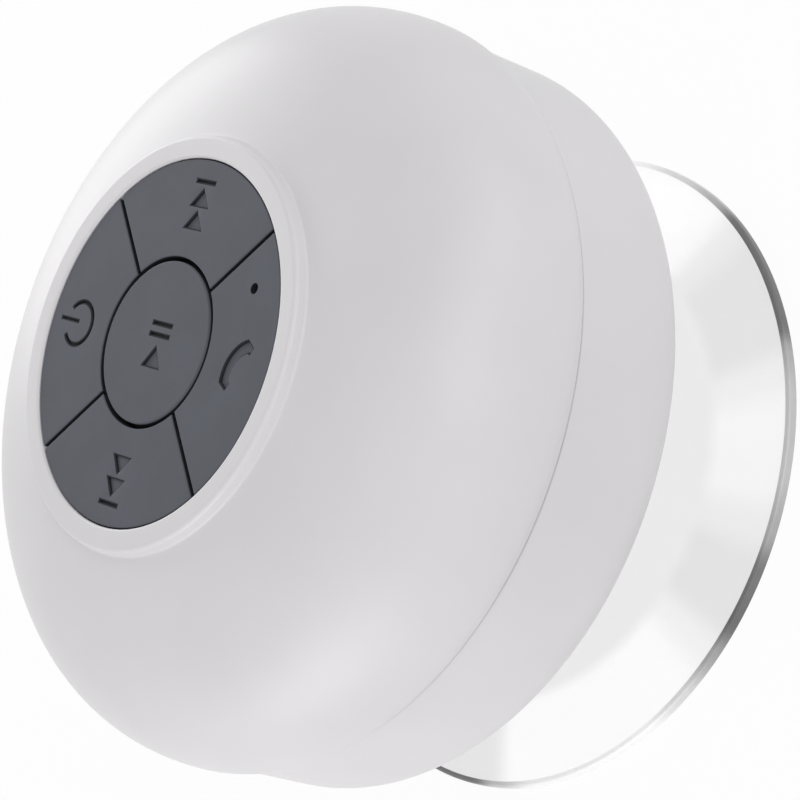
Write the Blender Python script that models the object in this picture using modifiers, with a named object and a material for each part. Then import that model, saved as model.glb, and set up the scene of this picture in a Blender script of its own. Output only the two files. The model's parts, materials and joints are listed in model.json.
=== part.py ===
"""Round shower speaker on a suction cup, built as an assembly of separate pieces.

Units are metres and +Z is up. The origin is the middle of the suction lip, so the
speaker stands on its cup with the key panel on top. +X points at the next key and +Y at
the power key.
"""

import math

import bmesh
import bpy
from mathutils import Matrix, Vector

# Fits and fineness
GAP = 0.0003
MERGE = 0.00001
SHELL_STEPS = 40
RING_STEPS = 24
ROD_STEPS = 12
ROUND_POINTS = 4
DOME_POINTS = 9
DOME_INSIDE_POINTS = 5
BELL_POINTS = 7
ROOF_POINTS = 5
DUST_CAP_POINTS = 3
LEAD_POINTS = 3
HALVINGS = 40
SHARP_ANGLE = math.radians(35.0)

# Suction cup
CUP_RADIUS = 0.0380
CUP_LIP = 0.0010
CUP_SKIN = 0.0015
LIP_WIDTH = 0.0030
LIP_ROUND = 0.0003
HUB_RADIUS = 0.0270
HUB_FOOT = 0.0028
CHAMBER_HEIGHT = 0.0056
ROOF_FOOT_RUN = 0.0068
ROOF_CROWN_RUN = 0.0122
SHOULDER_RADIUS = 0.0095
SHOULDER_EDGE = 0.0008
NECK_RADIUS = 0.0065
HEAD_RADIUS = 0.0085
HEAD_HEIGHT = 0.0028
HEAD_CHAMFER = 0.0014

# Housing, from the socket face up to the collar
CUP_STANDOFF = 0.0168
SOCKET_LIP = 0.0024
SOCKET_WALL = 0.0026
SOCKET_DROP = 0.0043
WALL = 0.0022
REAR_HEIGHT = 0.0171
REAR_ROUND = 0.0052
RIM_EDGE = 0.0003
SEAM_GAP = 0.0004
EDGE_DROP = 0.0016
EDGE_IN = 0.00046
BODY_RADIUS = 0.0430
BAND_STEP = 0.0008
DOME_HEIGHT = 0.0198
DOME_SIDE = 0.0108
CROWN_RUN = 0.0102
CROWN_DROP = 0.0012
COLLAR_WIDTH = 0.00285
COLLAR_HEIGHT = 0.0021
COLLAR_ROUND = 0.0008
COLLAR_FLARE = 0.00035

# Tongue of the rear shell and the seal round it
TONGUE_WIDTH = 0.0020
TONGUE_RISE = 0.0028
TONGUE_ROOT = 0.0020
SEAL_GROOVE_DEPTH = 0.0010
SEAL_RADIUS = 0.0004
SEAL_SIDES = 6

# Key panel
PANEL_RADIUS = 0.0204
PLAY_RADIUS = 0.0090
GROOVE = 0.0005
KEY_RECESS = 0.0002
KEY_CAP = 0.0015
KEY_STEP = 0.0008
KEY_TRAVEL = 0.0006
KEY_STEM_RADIUS = 0.0015
KEY_STEM = 0.0004
WEB_THICKNESS = 0.0008
SKIRT_RIM = 0.0015
SKIRT_WIDTH = 0.0015
MIC_HOLE_RADIUS = 0.0006
MIC_OFFSET = 0.0162
MIC_HEADING = math.radians(-60.4)

# Switches and the boards
SWITCH_SIZE = 0.0060
SWITCH_HEIGHT = 0.0030
PLUNGER_RADIUS = 0.0016
PLUNGER_SPARE = 0.0002
PLUNGER_SEAT = 0.0008
BOARD_THICKNESS = 0.0016
BOARD_EDGE = 0.0004
MODULE_SIZE = (0.0080, 0.0100, 0.0022)
AMPLIFIER_SIZE = (0.0050, 0.0060, 0.0012)
MIC_RADIUS = 0.0020
MIC_HEIGHT = 0.0018
BATTERY_SIZE = (0.0300, 0.0240, 0.0042)
PAD_SIZE = (0.0200, 0.0160, 0.0008)
LEAD_RADIUS = 0.00045
LEAD_SPREAD = 0.0030

# Posts, bosses and screws
POST_RADIUS = 0.0024
POST_SCREW_SHANK = 0.0009
POST_SCREW_HEAD = 0.0018
POST_SCREW_HEAD_HEIGHT = 0.0012
POST_SCREW_REACH = 0.0024
BOSS_RADIUS = 0.0026
BOSS_SPACE = 0.0005
SHELL_PAD_WIDTH = 0.0004
SHELL_PAD_RISE = 0.0016
SHELL_SCREW_SHANK = 0.0012
SHELL_SCREW_HEAD = 0.0020
SHELL_SCREW_HEAD_HEIGHT = 0.0014
SHELL_SCREW_SINK = 0.0019
SHELL_SCREW_LENGTH = 0.0080
SCREW_POINT = 0.0005

# Loudspeaker, facing down at the sound slots
FRAME_RADIUS = 0.0260
SEAT_WIDTH = 0.0036
SEAT_RISE = 0.0005
GASKET_THICKNESS = 0.0005
FLANGE_THICKNESS = 0.0010
BASKET_DEPTH = 0.0072
BASKET_WALL = 0.0008
BASKET_TOP_RADIUS = 0.0152
PLATE_RADIUS = 0.0124
PLATE_THICKNESS = 0.0014
MAGNET_RADIUS = 0.0134
MAGNET_THICKNESS = 0.0030
YOKE_RADIUS = 0.0128
YOKE_THICKNESS = 0.0014
POLE_RADIUS = 0.0054
COIL_THICKNESS = 0.0005
COIL_HEIGHT = 0.0068
CONE_TRAVEL = 0.0005
CONE_DEPTH = 0.0050
PAPER = 0.0004
ROLL_RADIUS = 0.0012
DUST_CAP_RADIUS = 0.0074
DUST_CAP_BULGE = 0.0018
SPIDER_WAVE = 0.0003
SPIDER_WAVES = 2
CLOTH_THICKNESS = 0.0003
SLOT_COUNT = 20
SLOT_WIDTH = 0.0015
SLOT_MARGIN = 0.0016
DRIVER_SCREW_SHANK = 0.0008
DRIVER_SCREW_HEAD = 0.0015
DRIVER_SCREW_HEAD_HEIGHT = 0.0010
DRIVER_SCREW_REACH = 0.0019

# Charging port, in the band on the +Y side
PORT_RISE = 0.0101
FLAP_WIDTH = 0.0144
FLAP_HEIGHT = 0.0069
FLAP_DEPTH = 0.0010
PLUG_SIZE = (0.0060, 0.0015, 0.0015)
PLUG_SPACE = 0.0008
SOCKET_SIZE = (0.0076, 0.0050, 0.0027)
SOCKET_SHEET = 0.0004
CHARGE_BOARD_SIZE = (0.0140, 0.0066, 0.0010)
CHARGE_BOARD_INSET = 0.0014
RIB_SPACING = 0.0100
RIB_WIDTH = 0.0014

# Levels and radii that follow from the sizes above
SOCKET_Z = CUP_STANDOFF
BACK_Z = SOCKET_Z + SOCKET_DROP
FLOOR_Z = BACK_Z + WALL
SEAM_Z = BACK_Z + REAR_HEIGHT
FRONT_EDGE_Z = SEAM_Z + SEAM_GAP
EQUATOR_Z = FRONT_EDGE_Z + EDGE_DROP
TOP_Z = EQUATOR_Z + DOME_HEIGHT
PORT_Z = BACK_Z + PORT_RISE

BAND_RADIUS = BODY_RADIUS - BAND_STEP
BAND_INSIDE = BAND_RADIUS - WALL
COLLAR_RADIUS = PANEL_RADIUS + COLLAR_WIDTH
TONGUE_OUTSIDE = BODY_RADIUS - WALL - GAP
TONGUE_INSIDE = TONGUE_OUTSIDE - TONGUE_WIDTH
TONGUE_TOP = SEAM_Z + TONGUE_RISE
SEAL_Z = SEAM_Z + TONGUE_RISE / 2
SEAL_HALF = SEAL_RADIUS + GAP / 2

KEY_TOP = TOP_Z - KEY_RECESS
CAP_LOW = KEY_TOP - KEY_CAP
WEB_TOP = CAP_LOW - KEY_TRAVEL - GAP
WEB_LOW = WEB_TOP - WEB_THICKNESS
STEM_LOW = WEB_LOW - KEY_STEM
PLUNGER_TOP = STEM_LOW - GAP
SWITCH_TOP = PLUNGER_TOP - KEY_TRAVEL - PLUNGER_SPARE
BOARD_TOP = SWITCH_TOP - SWITCH_HEIGHT - GAP
BOARD_LOW = BOARD_TOP - BOARD_THICKNESS
PAD_TOP = BOARD_LOW - GAP
BATTERY_TOP = PAD_TOP - PAD_SIZE[2] - GAP
RING_INSIDE = PLAY_RADIUS + GROOVE
RING_OUTSIDE = PANEL_RADIUS - GAP
SWITCH_OFFSET = (RING_INSIDE + RING_OUTSIDE) / 2
SKIRT_OUTSIDE = PANEL_RADIUS + SKIRT_RIM
SKIRT_INSIDE = SKIRT_OUTSIDE - SKIRT_WIDTH
POST_OFFSET = SKIRT_OUTSIDE + GAP + POST_RADIUS
BOARD_RADIUS = POST_OFFSET + POST_RADIUS + BOARD_EDGE
BOSS_OFFSET = TONGUE_INSIDE - BOSS_SPACE - BOSS_RADIUS

HEAD_LOW = SOCKET_Z + SOCKET_LIP + GAP
POCKET_RADIUS = HEAD_RADIUS + GAP
SOCKET_RADIUS = POCKET_RADIUS + SOCKET_WALL
SEAT_TOP = FLOOR_Z + SEAT_RISE + CONE_TRAVEL
SEAT_INSIDE = FRAME_RADIUS - SEAT_WIDTH
FLANGE_LOW = SEAT_TOP + GASKET_THICKNESS + 2 * GAP
FLANGE_TOP = FLANGE_LOW + FLANGE_THICKNESS
BASKET_TOP = FLANGE_TOP + BASKET_DEPTH
PLATE_LOW = BASKET_TOP + GAP
MAGNET_LOW = PLATE_LOW + PLATE_THICKNESS + GAP
YOKE_LOW = MAGNET_LOW + MAGNET_THICKNESS + GAP
COIL_INSIDE = POLE_RADIUS + GAP
COIL_OUTSIDE = COIL_INSIDE + COIL_THICKNESS
SURROUND_TOP = FLANGE_LOW - GAP
SURROUND_OUTSIDE = SEAT_INSIDE - GAP
ROLL_OUTSIDE = SURROUND_OUTSIDE - 4 * PAPER
ROLL_CENTRE = ROLL_OUTSIDE - ROLL_RADIUS
CONE_EDGE = ROLL_CENTRE - ROLL_RADIUS - PAPER / 2 - GAP
CONE_NECK = COIL_OUTSIDE + GAP
CONE_LOW = SURROUND_TOP - PAPER
DRIVER_SCREW_OFFSET = FRAME_RADIUS - SEAT_WIDTH / 2

DIAGONALS = [math.radians(45.0 + 90.0 * turn) for turn in range(4)]
QUARTERS = [math.radians(90.0 * turn) for turn in range(4)]
KEY_HEADINGS = {
    "next": math.radians(0.0),
    "power": math.radians(90.0),
    "previous": math.radians(180.0),
    "call": math.radians(270.0),
}


def clear_scene():
    """Remove what the scene holds, so that the script gives the same result each run."""
    for item in list(bpy.data.objects):
        bpy.data.objects.remove(item, do_unlink=True)
    for group in list(bpy.data.collections):
        bpy.data.collections.remove(group)


def new_collection(name):
    """Make a collection in the scene."""
    group = bpy.data.collections.new(name)
    bpy.context.scene.collection.children.link(group)
    return group


clear_scene()
PARTS = new_collection("shower_speaker")
TOOLS = new_collection("cutters_and_joined_shapes")


def finish(name, colour, roughness, metallic=0.0):
    """Make a plain material from a colour as seen on a screen, 0 to 255."""
    material = bpy.data.materials.new(name)
    material.use_nodes = True
    shader = material.node_tree.nodes["Principled BSDF"]
    linear = [(value / 255.0) ** 2.2 for value in colour]
    shader.inputs["Base Color"].default_value = (*linear, 1.0)
    shader.inputs["Roughness"].default_value = roughness
    shader.inputs["Metallic"].default_value = metallic
    return material


WHITE_PLASTIC = finish("white_plastic", (214, 215, 216), 0.35)
CLEAR_RUBBER = finish("clear_rubber", (232, 233, 234), 0.15)
GREY_RUBBER = finish("grey_rubber", (92, 92, 99), 0.6)
BLACK_RUBBER = finish("black_rubber", (28, 28, 30), 0.7)
WHITE_RUBBER = finish("white_rubber", (208, 209, 210), 0.6)
BOARD_GREEN = finish("board_green", (34, 92, 58), 0.5)
BLACK_PLASTIC = finish("black_plastic", (30, 30, 32), 0.5)
PLATED_STEEL = finish("plated_steel", (176, 178, 180), 0.35, 1.0)
FERRITE = finish("ferrite", (52, 52, 54), 0.6)
COPPER = finish("copper", (184, 112, 70), 0.35, 1.0)
PAPER_BLACK = finish("paper_black", (36, 36, 38), 0.85)
FOAM = finish("foam", (60, 60, 62), 0.95)
CELL_FOIL = finish("cell_foil", (150, 170, 190), 0.3, 0.6)
RED_LEAD = finish("red_lead", (168, 32, 30), 0.5)
BLACK_LEAD = finish("black_lead", (26, 26, 26), 0.5)

CUP_FRAME = bpy.data.objects.new("cup_frame", None)
HOUSING_FRAME = bpy.data.objects.new("housing_frame", None)
HOUSING_FRAME.parent = CUP_FRAME
for empty in (CUP_FRAME, HOUSING_FRAME):
    PARTS.objects.link(empty)


def shade(mesh):
    """Shade round surfaces smooth and keep the corners sharp."""
    mesh.shade_smooth()
    mesh.set_sharp_from_angle(angle=SHARP_ANGLE)


def add_part(name, mesh, material, parent=HOUSING_FRAME, origin=(0.0, 0.0, 0.0)):
    """Put a mesh given in world places into the assembly, with its origin at a point."""
    mesh.name = name
    mesh.materials.clear()
    mesh.materials.append(material)
    mesh.transform(Matrix.Translation(-Vector(origin)))
    shade(mesh)
    part = bpy.data.objects.new(name, mesh)
    part.location = origin
    part.parent = parent
    PARTS.objects.link(part)
    return part


def add_tool(name, mesh):
    """Keep a mesh as a hidden shape for a Boolean."""
    mesh.name = name
    tool = bpy.data.objects.new(name, mesh)
    tool.hide_render = True
    tool.display_type = "WIRE"
    TOOLS.objects.link(tool)
    return tool


def boolean(part, tool, operation):
    """Cut, join or intersect a part with a hidden shape."""
    modifier = part.modifiers.new(tool.name, "BOOLEAN")
    modifier.operation = operation
    modifier.solver = "EXACT"
    modifier.object = tool


def evaluated_mesh(item):
    """Read an object's mesh as its modifiers and curve settings leave it, in world places."""
    bpy.context.view_layer.update()
    graph = bpy.context.evaluated_depsgraph_get()
    mesh = bpy.data.meshes.new_from_object(item.evaluated_get(graph))
    mesh.transform(item.matrix_world)
    return mesh


def welded(mesh):
    """Weld a mesh's loose caps and turn its faces outwards."""
    shape = bmesh.new()
    shape.from_mesh(mesh)
    bmesh.ops.remove_doubles(shape, verts=shape.verts, dist=MERGE)
    bmesh.ops.recalc_face_normals(shape, faces=shape.faces)
    shape.to_mesh(mesh)
    shape.free()
    return mesh


def turned_mesh(profile, steps, closed=True, spot=(0.0, 0.0)):
    """Turn a profile of (radius, height) points, outer side downwards, about an upright axis."""
    links = [(i, i + 1) for i in range(len(profile) - 1)]
    if closed:
        links.append((len(profile) - 1, 0))
    outline = bpy.data.meshes.new("profile")
    outline.from_pydata([(radius, 0.0, height) for radius, height in profile], links, [])
    item = bpy.data.objects.new("profile", outline)
    item.location = (*spot, 0.0)
    TOOLS.objects.link(item)
    screw = item.modifiers.new("Turn", "SCREW")
    screw.axis = "Z"
    screw.angle = math.tau
    screw.steps = steps
    screw.render_steps = steps
    screw.use_merge_vertices = True
    screw.merge_threshold = MERGE
    mesh = evaluated_mesh(item)
    bpy.data.objects.remove(item, do_unlink=True)
    return mesh


def plate_mesh(outlines, low, high):
    """Extrude flat outlines, the inner ones as holes, between two heights."""
    curve = bpy.data.curves.new("outline", "CURVE")
    curve.dimensions = "2D"
    curve.fill_mode = "BOTH"
    curve.extrude = (high - low) / 2
    for outline in outlines:
        spline = curve.splines.new("POLY")
        spline.points.add(len(outline) - 1)
        for point, (x, y) in zip(spline.points, outline):
            point.co = (x, y, 0.0, 1.0)
        spline.use_cyclic_u = True
    item = bpy.data.objects.new("outline", curve)
    item.location.z = (low + high) / 2
    TOOLS.objects.link(item)
    mesh = welded(evaluated_mesh(item))
    bpy.data.objects.remove(item, do_unlink=True)
    return mesh


def shape_mesh(rods=(), blocks=()):
    """Gather upright rods (radius, low, high, spot) and blocks (size, centre, turn) in a mesh."""
    shape = bmesh.new()
    for radius, low, high, spot in rods:
        place = Matrix.Translation((spot[0], spot[1], (low + high) / 2))
        bmesh.ops.create_cone(
            shape,
            cap_ends=True,
            segments=ROD_STEPS,
            radius1=radius,
            radius2=radius,
            depth=high - low,
            matrix=place,
        )
    for size, centre, turn in blocks:
        place = Matrix.Translation(centre) @ Matrix.Rotation(turn, 4, "Z") @ Matrix.Diagonal((*size, 1.0))
        bmesh.ops.create_cube(shape, size=1.0, matrix=place)
    mesh = bpy.data.meshes.new("shape")
    shape.to_mesh(mesh)
    shape.free()
    return mesh


def polar(radius, heading):
    """Give the x and y of a point at a radius and a heading."""
    return (radius * math.cos(heading), radius * math.sin(heading))


def arc(centre, radius, start, end, count):
    """Give points along an arc, with its angles in radians."""
    points = []
    for i in range(count + 1):
        x, y = polar(radius, start + (end - start) * i / count)
        points.append((centre[0] + x, centre[1] + y))
    return points


def bezier(knots, share):
    """Give the point and the slope of a cubic curve at a share of its length."""
    a, b, c, d = [Vector(knot) for knot in knots]
    rest = 1.0 - share
    point = a * rest**3 + b * (3 * share * rest**2) + c * (3 * share**2 * rest) + d * share**3
    slope = (b - a) * rest**2 + (c - b) * (2 * share * rest) + (d - c) * share**2
    return point, slope


def curve_points(knots, count):
    """Give points along a cubic curve, both ends among them."""
    return [tuple(bezier(knots, i / count)[0]) for i in range(count + 1)]


DOME_FOOT = (COLLAR_RADIUS + COLLAR_FLARE, TOP_Z - COLLAR_HEIGHT)
DOME_KNOTS = [
    DOME_FOOT,
    (DOME_FOOT[0] + CROWN_RUN, DOME_FOOT[1] - CROWN_DROP),
    (BODY_RADIUS, EQUATOR_Z + DOME_SIDE),
    (BODY_RADIUS, EQUATOR_Z),
]


def dome_point(share, inset=0.0):
    """Give a point of the dome's section, moved inwards from the outer surface."""
    point, slope = bezier(DOME_KNOTS, share)
    outward = Vector((-slope.y, slope.x)).normalized()
    return tuple(point - outward * inset)


def dome_height(radius):
    """Give the height of the dome's outer surface at a radius, by halving."""
    low, high = 0.0, 1.0
    for _ in range(HALVINGS):
        middle = (low + high) / 2
        if dome_point(middle)[0] < radius:
            low = middle
        else:
            high = middle
    return dome_point(low)[1]


def make_suction_cup():
    """Turn the clear cup: lip, hub, neck and the head that snaps into the housing."""
    head_top = HEAD_LOW + HEAD_HEIGHT
    shoulder = SOCKET_Z - GAP
    bell = [
        (SHOULDER_RADIUS, shoulder - SHOULDER_EDGE),
        (SHOULDER_RADIUS, (shoulder + HUB_FOOT) / 2),
        ((SHOULDER_RADIUS + HUB_RADIUS) / 2, HUB_FOOT),
        (HUB_RADIUS, HUB_FOOT),
    ]
    roof_edge = HUB_FOOT - CUP_SKIN
    roof = [
        (HUB_RADIUS, roof_edge),
        (HUB_RADIUS - ROOF_FOOT_RUN, roof_edge),
        (ROOF_CROWN_RUN, CHAMBER_HEIGHT),
        (0.0, CHAMBER_HEIGHT),
    ]
    profile = [
        (0.0, head_top),
        (HEAD_RADIUS - HEAD_CHAMFER, head_top),
        (HEAD_RADIUS, head_top - HEAD_CHAMFER),
        (HEAD_RADIUS, HEAD_LOW),
        (NECK_RADIUS, HEAD_LOW),
        (NECK_RADIUS, shoulder),
        (SHOULDER_RADIUS, shoulder),
    ]
    profile += curve_points(bell, BELL_POINTS)
    profile += [
        (CUP_RADIUS - LIP_ROUND, CUP_LIP),
        (CUP_RADIUS, CUP_LIP - LIP_ROUND),
        (CUP_RADIUS, 0.0),
        (CUP_RADIUS - LIP_WIDTH, 0.0),
    ]
    profile += curve_points(roof, ROOF_POINTS)
    mesh = turned_mesh(profile, SHELL_STEPS, closed=False)
    add_part("suction_cup", mesh, CLEAR_RUBBER, parent=CUP_FRAME)


def make_front_shell():
    """Turn the dome with its collar, then join the posts and bosses and drill them."""
    corner = (COLLAR_RADIUS - COLLAR_ROUND, TOP_Z - COLLAR_ROUND)
    edge_radius = (EDGE_DROP**2 + EDGE_IN**2) / (2 * EDGE_IN)
    edge_turn = math.asin(EDGE_DROP / edge_radius)
    wall_radius = SKIRT_OUTSIDE + GAP
    inside = [dome_point(1.0 - i / DOME_INSIDE_POINTS, WALL) for i in range(DOME_INSIDE_POINTS + 1)]
    profile = [(PANEL_RADIUS, TOP_Z)]
    profile += arc(corner, COLLAR_ROUND, math.radians(90.0), 0.0, ROUND_POINTS // 2)
    profile += [dome_point(i / DOME_POINTS) for i in range(DOME_POINTS)]
    profile += arc((BODY_RADIUS - edge_radius, EQUATOR_Z), edge_radius, 0.0, -edge_turn, ROUND_POINTS // 2)
    profile += [(BODY_RADIUS - WALL, FRONT_EDGE_Z)]
    profile += inside
    profile += [(wall_radius, inside[-1][1]), (wall_radius, WEB_TOP + GAP), (PANEL_RADIUS, WEB_TOP + GAP)]
    shell = add_part("front_shell", turned_mesh(profile, SHELL_STEPS), WHITE_PLASTIC)

    post_top = dome_height(POST_OFFSET + POST_RADIUS) - WALL / 2
    boss_top = dome_height(BOSS_OFFSET + BOSS_RADIUS) - WALL / 2
    post_low = BOARD_TOP + GAP
    boss_low = FLOOR_Z + SHELL_PAD_RISE + GAP
    post_drill = post_low + POST_SCREW_REACH + GAP
    boss_drill = BACK_Z + SHELL_SCREW_SINK + SHELL_SCREW_LENGTH
    posts = []
    drills = []
    for heading in DIAGONALS:
        post_spot = polar(POST_OFFSET, heading)
        boss_spot = polar(BOSS_OFFSET, heading)
        posts.append((POST_RADIUS, post_low, post_top, post_spot))
        posts.append((BOSS_RADIUS, boss_low, boss_top, boss_spot))
        drills.append((POST_SCREW_SHANK + GAP, post_low - WALL, post_drill, post_spot))
        drills.append((SHELL_SCREW_SHANK + GAP, boss_low - WALL, boss_drill, boss_spot))
    boolean(shell, add_tool("front_posts", shape_mesh(rods=posts)), "UNION")
    boolean(shell, add_tool("front_drills", shape_mesh(rods=drills)), "DIFFERENCE")


def make_rear_shell():
    """Turn the rear shell with its tongue, socket and seat, then add pads, ribs, slots and port."""
    corner = REAR_ROUND - WALL
    groove = TONGUE_OUTSIDE - SEAL_GROOVE_DEPTH
    profile = [
        (TONGUE_OUTSIDE, TONGUE_TOP),
        (TONGUE_OUTSIDE, SEAL_Z + SEAL_HALF),
        (groove, SEAL_Z + SEAL_HALF),
        (groove, SEAL_Z - SEAL_HALF),
        (TONGUE_OUTSIDE, SEAL_Z - SEAL_HALF),
        (TONGUE_OUTSIDE, SEAM_Z),
        (BAND_RADIUS - RIM_EDGE, SEAM_Z),
        (BAND_RADIUS, SEAM_Z - RIM_EDGE),
    ]
    down = math.radians(-90.0)
    profile += arc((BAND_RADIUS - REAR_ROUND, BACK_Z + REAR_ROUND), REAR_ROUND, 0.0, down, ROUND_POINTS)
    profile += [
        (SOCKET_RADIUS, BACK_Z),
        (SOCKET_RADIUS, SOCKET_Z),
        (NECK_RADIUS + GAP, SOCKET_Z),
        (NECK_RADIUS + GAP, SOCKET_Z + SOCKET_LIP),
        (POCKET_RADIUS, SOCKET_Z + SOCKET_LIP),
        (POCKET_RADIUS, FLOOR_Z),
        (SEAT_INSIDE, FLOOR_Z),
        (SEAT_INSIDE, SEAT_TOP),
        (FRAME_RADIUS, SEAT_TOP),
        (FRAME_RADIUS, FLOOR_Z),
    ]
    profile += arc((BAND_INSIDE - corner, FLOOR_Z + corner), corner, down, 0.0, ROUND_POINTS // 2)
    profile += [
        (BAND_INSIDE, SEAM_Z - TONGUE_ROOT),
        (TONGUE_INSIDE, SEAM_Z - RIM_EDGE),
        (TONGUE_INSIDE, TONGUE_TOP),
    ]
    shell = add_part("rear_shell", turned_mesh(profile, SHELL_STEPS), WHITE_PLASTIC)

    pads = []
    counterbores = []
    drills = []
    pad_top = FLOOR_Z + SHELL_PAD_RISE
    sink = BACK_Z + SHELL_SCREW_SINK
    for heading in DIAGONALS:
        spot = polar(BOSS_OFFSET, heading)
        pads.append((BOSS_RADIUS + SHELL_PAD_WIDTH, FLOOR_Z - WALL / 2, pad_top, spot))
        counterbores.append((SHELL_SCREW_HEAD + GAP, BACK_Z - WALL, sink, spot))
        drills.append((SHELL_SCREW_SHANK + GAP, (BACK_Z + sink) / 2, pad_top + WALL, spot))
    ribs = []
    rib_low = FLOOR_Z - WALL / 2
    rib_high = charge_board_low() - GAP
    depth = CHARGE_BOARD_SIZE[1]
    for side in (-1, 1):
        centre = (side * RIB_SPACING / 2, charge_board_middle(), (rib_low + rib_high) / 2)
        ribs.append(((RIB_WIDTH, depth, rib_high - rib_low), centre, 0.0))
    boolean(shell, add_tool("rear_pads", shape_mesh(rods=pads, blocks=ribs)), "UNION")
    boolean(shell, add_tool("rear_counterbores", shape_mesh(rods=counterbores)), "DIFFERENCE")
    boolean(shell, add_tool("rear_drills", shape_mesh(rods=drills)), "DIFFERENCE")

    seat_drills = []
    for heading in QUARTERS:
        spot = polar(DRIVER_SCREW_OFFSET, heading)
        low = SEAT_TOP - DRIVER_SCREW_REACH - GAP
        seat_drills.append((DRIVER_SCREW_SHANK + GAP, low, SEAT_TOP + WALL, spot))
    boolean(shell, add_tool("seat_drills", shape_mesh(rods=seat_drills)), "DIFFERENCE")

    slots = []
    inside = SOCKET_RADIUS + SLOT_MARGIN
    outside = SEAT_INSIDE - SLOT_MARGIN
    for i in range(SLOT_COUNT):
        heading = math.tau * (i + 0.5) / SLOT_COUNT
        centre = (*polar((inside + outside) / 2, heading), (BACK_Z + FLOOR_Z) / 2)
        slots.append(((outside - inside, SLOT_WIDTH, WALL * 2), centre, heading))
    boolean(shell, add_tool("sound_slots", shape_mesh(blocks=slots)), "DIFFERENCE")

    recess_low = BAND_RADIUS - FLAP_DEPTH - GAP
    recess_high = BODY_RADIUS + WALL
    recess = (
        (FLAP_WIDTH + 2 * GAP, recess_high - recess_low, FLAP_HEIGHT + 2 * GAP),
        (0.0, (recess_low + recess_high) / 2, PORT_Z),
        0.0,
    )
    port_low = BAND_INSIDE - WALL
    port = (
        (PLUG_SIZE[0] + 2 * PLUG_SPACE, BODY_RADIUS - port_low, PLUG_SIZE[2] + 2 * PLUG_SPACE),
        (0.0, (BODY_RADIUS + port_low) / 2, PORT_Z),
        0.0,
    )
    boolean(shell, add_tool("flap_recess", shape_mesh(blocks=[recess])), "DIFFERENCE")
    boolean(shell, add_tool("port_opening", shape_mesh(blocks=[port])), "DIFFERENCE")


def make_shell_seal():
    """Make the sealing ring in the tongue's groove."""
    middle = TONGUE_OUTSIDE - SEAL_GROOVE_DEPTH + GAP + SEAL_RADIUS
    section = arc((middle, SEAL_Z), SEAL_RADIUS, math.tau, 0.0, SEAL_SIDES)[:-1]
    add_part("shell_seal", turned_mesh(section, SHELL_STEPS), BLACK_RUBBER)


def ring_key_outline(heading, inset):
    """Outline a key of the outer ring, with its sides along the diagonals, drawn in by an inset."""
    side = GROOVE / 2 + inset
    points = []
    for radius, turn in ((RING_OUTSIDE - inset, 1), (RING_INSIDE + inset, -1)):
        spread = math.radians(45.0) - math.asin(side / radius)
        points += arc((0.0, 0.0), radius, heading - turn * spread, heading + turn * spread, SHELL_STEPS // 4)
    return points


def play_outline(inset):
    """Outline the round key in the middle, drawn in by an inset."""
    return arc((0.0, 0.0), PLAY_RADIUS - inset, 0.0, math.tau, RING_STEPS)[:-1]


def make_key(name, outline, inset_outline, spot):
    """Make a key: a cap, a step below it that passes the web, and a stem over its switch."""
    origin = (*spot, KEY_TOP)
    key = add_part(name + "_key", plate_mesh([outline], CAP_LOW, KEY_TOP), GREY_RUBBER, origin=origin)
    step = add_tool(name + "_step", plate_mesh([inset_outline], WEB_LOW, CAP_LOW + KEY_CAP / 2))
    stem = (KEY_STEM_RADIUS, STEM_LOW, WEB_LOW + WEB_THICKNESS, spot)
    boolean(key, step, "UNION")
    boolean(key, add_tool(name + "_stem", shape_mesh(rods=[stem])), "UNION")
    return key


def make_keys():
    """Make the five keys, the call key with the microphone's hole through it."""
    make_key("play", play_outline(0.0), play_outline(KEY_STEP), (0.0, 0.0))
    for name, heading in KEY_HEADINGS.items():
        outline = ring_key_outline(heading, 0.0)
        inset_outline = ring_key_outline(heading, KEY_STEP)
        key = make_key(name, outline, inset_outline, polar(SWITCH_OFFSET, heading))
        if name == "call":
            hole = (MIC_HOLE_RADIUS, WEB_LOW - WALL, KEY_TOP + WALL, polar(MIC_OFFSET, MIC_HEADING))
            boolean(key, add_tool("microphone_hole", shape_mesh(rods=[hole])), "DIFFERENCE")


def make_keypad_web():
    """Make the rubber web between the keys, with the skirt that stands on the board."""
    inset = KEY_STEP - GAP
    outlines = [arc((0.0, 0.0), SKIRT_OUTSIDE, 0.0, math.tau, SHELL_STEPS)[:-1], play_outline(inset)]
    outlines += [ring_key_outline(heading, inset) for heading in KEY_HEADINGS.values()]
    web = add_part("keypad_web", plate_mesh(outlines, WEB_LOW, WEB_TOP), BLACK_RUBBER)
    skirt_low = BOARD_TOP + GAP
    skirt_top = WEB_LOW + WEB_THICKNESS / 2
    skirt = [
        (SKIRT_OUTSIDE, skirt_top),
        (SKIRT_OUTSIDE, skirt_low),
        (SKIRT_INSIDE, skirt_low),
        (SKIRT_INSIDE, skirt_top),
    ]
    boolean(web, add_tool("web_skirt", turned_mesh(skirt, SHELL_STEPS)), "UNION")


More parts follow.
